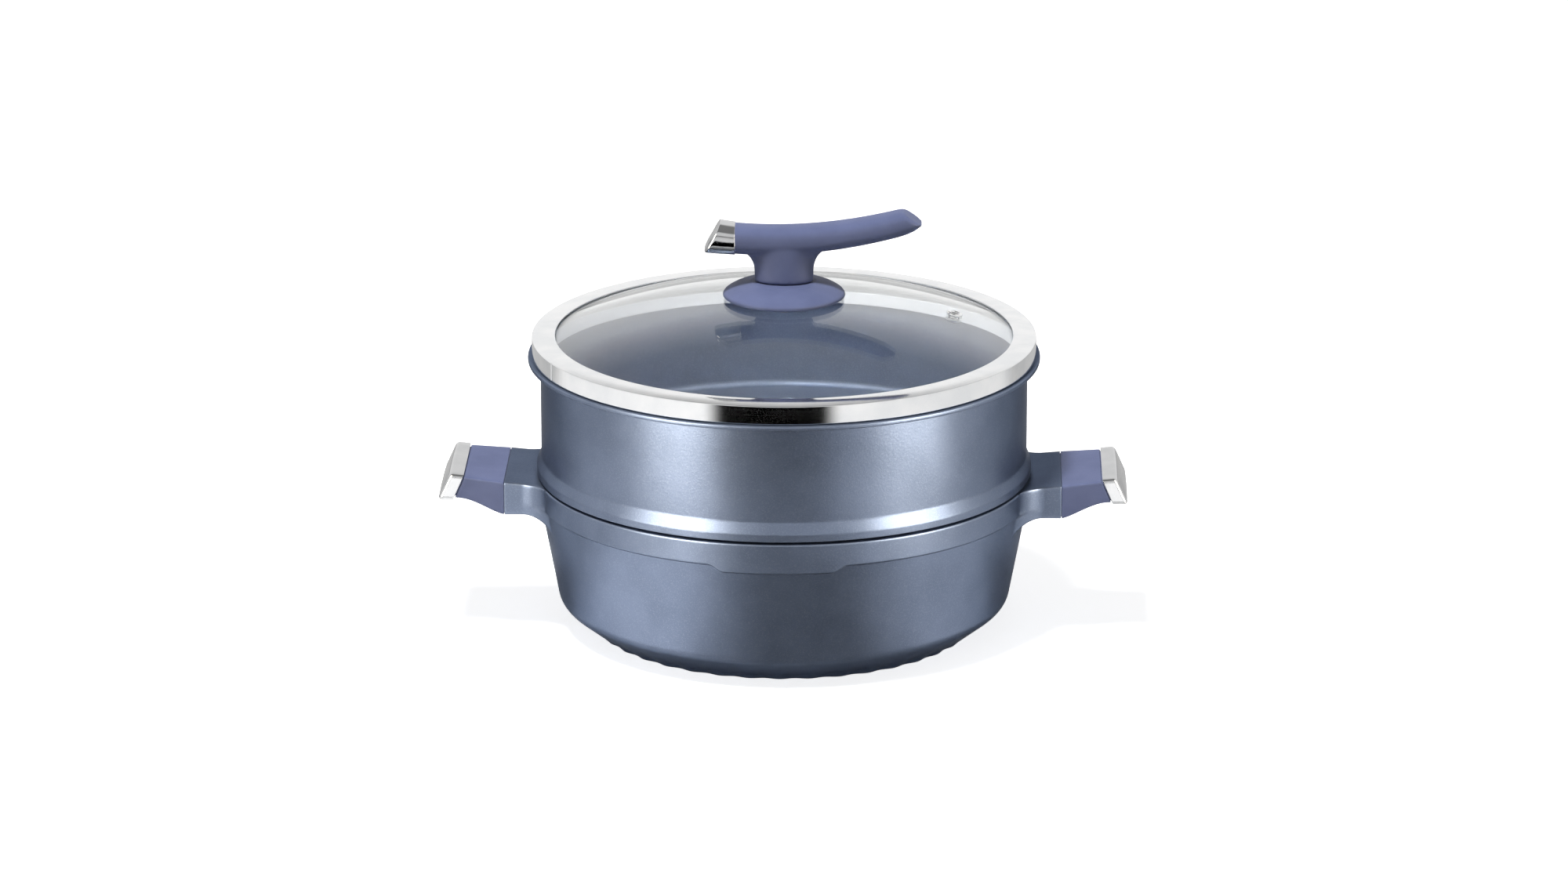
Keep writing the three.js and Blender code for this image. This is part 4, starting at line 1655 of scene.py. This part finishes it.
    def build(self, workshop: Workshop) -> None:
        """Builds glass, band and eyelet; the glass lets the lamps' light through to the food.

        Args:
            workshop: makes and mounts the pieces.
        """
        glass = combined("dome_glass", [self.glass()], [self.vent_pin()], Joining.CUT)
        finished(glass.data)
        workshop.mount(glass, GLASS, Body.LID, "lid_glass")
        glass.visible_shadow = False
        rim = workshop.build("steel_rim", [self.band()], RIM_STEEL, Body.LID, "lid_rim_band",
                             sharp_degrees=self.steel_sharp)
        self.mark_lining(rim.data)
        workshop.build("vent_eyelet", [self.eyelet()], RIM_STEEL, Body.LID, "vent_grommet",
                       sharp_degrees=self.steel_sharp)


@dataclass
class Knob:
    """The lid's knob: foot disc, stem and drooping bar with a chrome tip, and the fasteners under it."""

    lid: GlassLid
    disc_radius: float = 30.75
    disc_edge: float = 3.0
    disc_undercut: float = 1.7
    disc_rise: float = 5.0
    disc_shoulder: float = 5.0
    disc_shoulder_rise: float = 2.9
    disc_sink: float = 1.0
    disc_angles: int = 160
    gap: float = 0.3
    screw_bore: float = 2.8
    seal_recess: float = 12.3
    seal_thickness: float = 1.2
    stem_half_length: float = 14.9
    stem_half_width: float = 9.2
    stem_height: float = 15.8
    stem_fillet: float = 11.5
    stem_sink: float = 1.0
    stem_start: float = 1.0
    stem_rows: int = 16
    flare_left: float = 11.0
    flare_right: float = 8.0
    bar_height: float = 14.8
    bar_half_width: float = 10.0
    bar_squareness: float = 2.8
    bar_dip: float = 6.2
    bar_rows: int = 60
    tip_reach: float = 40.0
    tip_length: float = 14.7
    tip_lean: float = 7.6
    tip_squareness: float = 3.6
    tip_edge: float = 0.8
    tip_overlap: float = 1.6
    tip_proud: float = 0.1
    tip_rows: int = 12
    joint_ease: float = 0.2
    nose_reach: float = 72.0
    nose_rise: float = 10.3
    nose_lean: float = 7.2
    nose_taper: float = 0.87
    nose_end: float = 70.0
    nose_round: float = 15.6
    nose_power: float = 3.0
    nose_tip: float = 0.45
    nose_rows: int = 26
    face_start: float = 60.2
    face_height: float = 215.8
    face_slope: float = 0.71
    face_ease: float = 0.8
    section_points: int = 72
    line_points: int = 400
    voxel: float = 0.7
    smoothing: int = 14
    soft_sharp: float = 60.0
    stem_foot: float = field(default_factory=lambda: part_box("knob_handle")[0].z / MM)

    @property
    def disc_foot(self) -> float:
        """Height of the disc's lowest edge, which reaches down the dome."""
        return self.lid.dome_top - self.disc_sink

    @property
    def bar_foot(self) -> float:
        """Height of the bar's underside at the tip."""
        return self.stem_foot + self.stem_height

    @property
    def joint(self) -> float:
        """Where the chrome tip meets the bar."""
        return self.tip_length - self.tip_reach

    def disc(self) -> Skin:
        """The foot disc: a turned ring with a thick round edge and a top domed up to the stem.

        Returns:
            The closed skin.
        """
        shoulder = self.disc_foot + self.disc_edge
        top = shoulder + self.disc_rise
        underside = self.lid.dome_top + self.gap
        roof = underside + self.seal_thickness + self.gap
        stem = self.stem_half_length + self.disc_undercut
        return turned_ring(np.array([
            (self.screw_bore, roof, 0),
            (self.seal_recess, roof, 0.2),
            (self.seal_recess, underside, 0.3),
            (self.disc_radius - self.disc_undercut, self.disc_foot, 0.8),
            (self.disc_radius, self.disc_foot + self.disc_edge / 3, 0.9),
            (self.disc_radius, shoulder - self.disc_edge / 6, 1.4),
            (self.disc_radius - self.disc_shoulder, shoulder + self.disc_shoulder_rise, 4.0),
            (stem, top, 0.4),
            (self.screw_bore, top, 0),
        ]), self.disc_angles, spacing=2.5)

    def line(self, x: np.ndarray) -> Pair:
        """The bar's drooping middle line, a quadratic curve from the tip's end to the nose.

        Args:
            x: places along the knob.

        Returns:
            Height of the line at each place, and the share of its full size that the section has there.
        """
        middle = self.bar_foot + self.bar_height / 2
        t = np.linspace(0, 1, self.line_points)
        weights = np.stack([(1 - t) ** 2, 2 * t * (1 - t), t ** 2])
        along = np.array([self.tip_lean / 2 - self.tip_reach, self.stem_half_length,
                          self.nose_reach - self.nose_lean / 2]) @ weights
        height = np.array([middle, middle - self.bar_dip, middle + self.nose_rise]) @ weights
        return np.interp(x, along, height), 1 - (1 - self.nose_taper) * np.interp(x, along, t)

    def bar(self) -> Skin:
        """The bar from the tip's joint to the nose: superellipse sections carried along the line.

        Over the last stretch underside and width close by (1 - s^p)^(1/p), while the top runs on and is
        cut by the nose's slanted face, z = soft lesser of the top and h - k (x - x0).

        Returns:
            The closed skin.
        """
        start = self.joint - self.tip_overlap / 2
        reach = self.nose_end - self.nose_round
        turn = np.linspace(0, QUARTER_TURN, self.nose_rows)
        straight = np.linspace(start, reach, self.bar_rows)
        x = np.concatenate([straight[:-1], reach + self.nose_round * np.sin(turn)])[:, None]
        near = np.clip((x - reach) / self.nose_round, 0, 1)
        closing = (1 - near ** self.nose_power) ** (1 / self.nose_power)
        height, taper = self.line(x)
        across, up = soft_square(self.section_points, self.bar_squareness).T
        half = self.bar_height / 2 * taper * np.where(up < 0, closing, 1)
        width = self.bar_half_width * taper * (self.nose_tip + (1 - self.nose_tip) * closing)
        z = height + half * up
        face = self.face_height - self.face_slope * (x - self.face_start)
        z = (z + face - np.sqrt((z - face) ** 2 + self.face_ease ** 2)) / 2
        return Skin(np.stack(np.broadcast_arrays(x, width * across, z), axis=-1), capped=True)

    def stem(self) -> Skin:
        """The oval stem, which flares along the bar by f (1 - cos a) as it runs up into it by g sin a.

        Returns:
            The closed skin.
        """
        turn = np.linspace(0, QUARTER_TURN, self.stem_rows)
        rise = np.concatenate([[0, 0], 1 - np.cos(turn), [1]])[:, None]
        top = self.bar_foot + self.stem_sink
        foot = [self.stem_foot, self.stem_foot + self.stem_start]
        fillet = top - self.stem_fillet * (1 - np.sin(turn))
        z = np.concatenate([foot, fillet, [top + 2 * self.stem_sink]])[:, None]
        angles = even_angles(self.section_points)
        flare = np.where(np.cos(angles) < 0, self.flare_left, self.flare_right)
        x = (self.stem_half_length + flare * rise) * np.cos(angles)
        y = self.stem_half_width * np.sin(angles)
        return Skin(np.stack(np.broadcast_arrays(x, y, z), axis=-1), capped=True)

    def tip(self) -> Skin:
        """The chrome tip: squarer superellipse sections carried along the line up to the joint.

        A point at the height u of its section moves along by lean (1 - s) u, so that the end face leans
        and the joint is upright.

        Returns:
            The closed skin.
        """
        start, end = self.tip_lean / 2 - self.tip_reach, self.joint + self.tip_overlap / 2
        share, drawn = eased_ends(end - start, self.tip_edge, self.joint_ease, self.tip_rows)
        share, drawn = share[:, None], drawn[:, None] - self.tip_proud
        x = start + (end - start) * share
        height, taper = self.line(x)
        across, up = soft_square(self.section_points, self.tip_squareness).T
        half = self.bar_height / 2 * taper - drawn
        width = self.bar_half_width * taper - drawn
        lean = self.tip_lean / 2 * (1 - share)
        return Skin(np.stack([x + lean * up, width * across, height + half * up], axis=-1), capped=True)

    def build(self, workshop: Workshop) -> None:
        """Builds disc, bar and tip, and dresses the fasteners and seals.

        Args:
            workshop: makes and mounts the pieces.
        """
        workshop.build("knob_disc", [self.disc()], LAVENDER, Body.LID, "knob_base_disc",
                       sharp_degrees=self.soft_sharp)
        joined = combined("knob_bar", [self.bar()], [self.stem()], Joining.JOIN)
        bar = placed("knob_bar", finished(melted(joined, self.voxel, self.smoothing), self.soft_sharp))
        workshop.mount(bar, LAVENDER, Body.LID, "knob_handle")
        workshop.build("knob_tip", [self.tip()], CHROME, Body.LID, "knob_tip_cap")
        for node, finish in (("knob_insert", BRASS), ("knob_screw", ZINC), ("knob_washer", ZINC),
                             ("knob_seal_upper", SILICONE), ("knob_seal_lower", SILICONE)):
            workshop.dress_node(node, finish)


# Studio


@dataclass(frozen=True)
class Softbox:
    """A soft lamp that faces the set from a bearing measured to the right of the camera's side.

    A gloss lamp only makes highlights, and a plain one only lights the set without mirroring in it.
    """

    name: str
    bearing: float
    distance: float
    centre: float
    width: float
    height: float
    radiance: float
    gloss: bool
    colour: tuple[float, float, float] = WHITE[:3]
    aim: float = 0.09

    def build(self, spared: bpy.types.Collection) -> None:
        """Makes the lamp, hidden from the camera.

        Args:
            spared: the pieces that a gloss lamp doesn't mirror in.
        """
        turn = math.radians(self.bearing)
        lamp = bpy.data.lights.new(self.name, "AREA")
        lamp.shape = "RECTANGLE"
        lamp.size, lamp.size_y = self.width, self.height
        lamp.energy = self.radiance * math.pi * self.width * self.height
        lamp.color = self.colour
        obj = bpy.data.objects.new(self.name, lamp)
        obj.location = (self.distance * math.sin(turn), -self.distance * math.cos(turn), self.centre)
        obj.rotation_euler = (Vector((0, 0, self.aim)) - obj.location).to_track_quat("-Z", "Y").to_euler()
        obj.visible_camera = False
        obj.visible_glossy = self.gloss
        obj.visible_diffuse = not self.gloss
        if self.gloss:
            obj.light_linking.receiver_collection = spared
        bpy.context.scene.collection.objects.link(obj)


@dataclass(frozen=True)
class Card:
    """A card on an arc round the set, fading at its ends, that only gloss mirrors.

    A glow near zero makes a dark streak there, and a high one a pale streak.
    """

    name: str
    bearings: Span
    radii: Span
    heights: Span
    fade: float
    glow: float
    columns: int = 49

    def material(self) -> bpy.types.Material:
        """The card's glow, clear where it has faded.

        Returns:
            The material.
        """
        made, sheet = new_material(self.name)
        clear = sheet.add("BsdfTransparent").outputs[0]
        shown = sheet.add("Emission", {"Color": WHITE, "Strength": self.glow}).outputs[0]
        mixed = sheet.add("MixShader", {0: sheet.carried("fade"), 1: clear, 2: shown})
        sheet.add("OutputMaterial", {"Surface": mixed.outputs[0]})
        return made

    def build(self) -> None:
        """Makes the card: x = r sin b, y = -r cos b, between two bearings, radii and heights."""
        share = np.linspace(0, 1, self.columns)
        bearing = np.radians(np.interp(share, [0, 1], self.bearings))[None, :]
        radius, z = (np.array(pair)[:, None] / MM for pair in (self.radii, self.heights))
        arc = np.broadcast_arrays(radius * np.sin(bearing), -radius * np.cos(bearing), z)
        card = placed(self.name, mesh_of(self.name, [Skin(np.stack(arc, axis=-1), loop_columns=False)]))
        held = smoothstep(np.minimum(share, 1 - share) / self.fade)
        store(card.data, "fade", np.tile(held, 2))
        card.data.materials.append(self.material())
        for kind in ("camera", "diffuse", "shadow", "transmission"):
            setattr(card, f"visible_{kind}", False)


@dataclass
class Studio:
    """Plain pale floor, soft light and the photograph's camera."""

    image_width: float = 2000.0
    sensor: float = 36.0
    target_height: float = 0.0928
    distance: float = 3.5
    elevation: float = 17.1
    azimuth: float = 1.4
    pixels_per_metre: float = 2514.5
    clip: Span = (0.1, 100.0)
    floor_half: float = 14.0
    floor_tone: Colour = (0.8, 0.8, 0.8, 1)
    floor_roughness: float = 0.9
    floor_glow: float = 0.78
    floor_sheen: float = 0.1
    fill: float = 0.24
    open_sky: float = 1.0
    dark_sky: float = 0.3
    dark_aside: Span = (0.25, 0.55)
    dark_above: Span = (0.38, 0.6)
    softboxes: tuple[Softbox, ...] = (
        Softbox("left_softbox", bearing=-43, distance=0.5, centre=0.2, width=0.27, height=0.4,
                radiance=10.4, gloss=True, colour=WARM),
        Softbox("right_softbox", bearing=57, distance=0.5, centre=0.2, width=0.27, height=0.4,
                radiance=9.5, gloss=True, colour=WARM),
        Softbox("key_softbox", bearing=-28, distance=0.6, centre=1.93, width=0.32, height=0.32,
                radiance=128.0, gloss=False),
    )
    cards: tuple[Card, ...] = (
        Card("band_card", bearings=(-30.0, 24.0), radii=(0.38, 0.38), heights=(0.01, 0.1),
             fade=0.16, glow=0.0),
        Card("front_card", bearings=(-36.0, 52.0), radii=(0.112, 0.34), heights=(0.003, 0.003),
             fade=0.38, glow=0.15),
        Card("left_card", bearings=(-84.0, -14.0), radii=(0.125, 0.24), heights=(0.002, 0.002),
             fade=0.3, glow=2.0),
        Card("right_card", bearings=(14.0, 90.0), radii=(0.125, 0.24), heights=(0.002, 0.002),
             fade=0.3, glow=1.3),
        Card("left_cap_card", bearings=(-42.0, -31.0), radii=(0.26, 0.38), heights=(0.004, 0.004),
             fade=0.2, glow=1.9),
        Card("right_cap_card", bearings=(29.5, 41.0), radii=(0.26, 0.38), heights=(0.004, 0.004),
             fade=0.2, glow=1.8),
        Card("back_card", bearings=(105.0, 255.0), radii=(0.18, 1.8), heights=(0.002, 0.002),
             fade=0.1, glow=0.55),
    )

    @staticmethod
    def by_ray(sheet: Sheet, shown: float, through: Any, mirrored: Any, lit: float) -> Socket:
        """A strength that depends on the kind of ray.

        Args:
            sheet: the sheet to add to.
            shown: for camera rays.
            through: for rays that have passed the glass, a value or a socket.
            mirrored: for glossy rays, a value or a socket.
            lit: for the rest, which light the set.

        Returns:
            The strength.
        """
        rays = sheet.add("LightPath").outputs
        strength = sheet.ranged(rays["Is Glossy Ray"], (0, 1), (lit, mirrored))
        strength = sheet.ranged(rays["Is Transmission Ray"], (0, 1), (strength, through))
        return sheet.ranged(rays["Is Camera Ray"], (0, 1), (strength, shown))

    def world(self) -> None:
        """White surroundings that light the set at a lower, plain level.

        Gloss and the lid's glass see them darker high up in front of the set and behind it, where they
        would only show as haze.
        """
        world = bpy.data.worlds.new("studio")
        world.use_nodes = True
        sheet = Sheet(world.node_tree)
        x, _, z = sheet.add("SeparateXYZ", {0: sheet.add("TexCoord").outputs["Generated"]}).outputs
        aside = sheet.add("Math", {0: x}, operation="ABSOLUTE").outputs[0]
        middle = sheet.ranged(aside, self.dark_aside, (1.0, 0.0))
        above = sheet.ranged(z, self.dark_above, (0.0, 1.0))
        sky = sheet.ranged(sheet.product(middle, above), (0, 1), (self.open_sky, self.dark_sky))
        strength = self.by_ray(sheet, self.open_sky, sky, sky, self.fill)
        back = sheet.add("Background", {"Color": WHITE, "Strength": strength})
        sheet.add("OutputWorld", {"Surface": back.outputs[0]})
        bpy.context.scene.world = world

    def floor(self) -> None:
        """A pale floor that shows white and keeps the set's shadow."""
        edge = np.array([-self.floor_half, self.floor_half]) / MM
        grid = np.stack(np.broadcast_arrays(edge[None, :], edge[:, None], np.zeros((2, 2))), axis=-1)
        floor = placed("floor", mesh_of("floor", [Skin(grid, loop_columns=False)]))
        made, sheet = new_material("floor")
        glow = self.by_ray(sheet, self.floor_glow, self.floor_glow, self.floor_sheen, 0.0)
        surface = sheet.add("BsdfPrincipled", {
            "Base Color": self.floor_tone,
            "Roughness": self.floor_roughness,
            "Specular IOR Level": 0.0,
            "Emission Color": WHITE,
            "Emission Strength": glow,
        })
        sheet.add("OutputMaterial", {"Surface": surface.outputs[0]})
        floor.data.materials.append(made)

    @staticmethod
    def spared() -> bpy.types.Collection:
        """The polished steel and the glass, which show only the pale floor, the cards and the sky.

        Returns:
            A collection that lamps leave out.
        """
        spared = bpy.data.collections.new("spared")
        for name in ("steel_rim", "vent_eyelet", "dome_glass"):
            spared.objects.link(bpy.data.objects[name])
        for entry in spared.collection_objects:
            entry.light_linking.link_state = "EXCLUDE"
        return spared

    def camera(self) -> None:
        """The photograph's camera: its angle, distance and scale."""
        turn, lift = math.radians(self.azimuth), math.radians(self.elevation)
        back = Vector((math.sin(turn) * math.cos(lift), -math.cos(turn) * math.cos(lift), math.sin(lift)))
        data = bpy.data.cameras.new("camera")
        data.sensor_width = self.sensor
        data.lens = self.pixels_per_metre * self.distance * self.sensor / self.image_width
        data.clip_start, data.clip_end = self.clip
        camera = bpy.data.objects.new("camera", data)
        camera.location = Vector((0, 0, self.target_height)) + back * self.distance
        camera.rotation_euler = (-back).to_track_quat("-Z", "Y").to_euler()
        bpy.context.scene.collection.objects.link(camera)
        bpy.context.scene.camera = camera

    def build(self) -> None:
        """Builds floor, surroundings, lamps, cards and camera."""
        bpy.context.scene.view_settings.view_transform = "Standard"
        self.world()
        self.floor()
        spared = self.spared()
        for lamp in self.softboxes:
            lamp.build(spared)
        for card in self.cards:
            card.build()
        self.camera()


def main() -> None:
    """Builds the sub-assemblies in order, then the studio."""
    logging.basicConfig(level=logging.INFO, format="%(message)s")
    workshop = Workshop()
    pot = Casserole()
    handles = [SideHandle(side, pot) for side in Side]
    tier = SteamerTier(pot)
    lid = GlassLid(tier)
    for assembly in (pot, *handles, tier, lid, Knob(lid)):
        assembly.build(workshop)
    Studio().build()


if __name__ == "__main__":
    main()
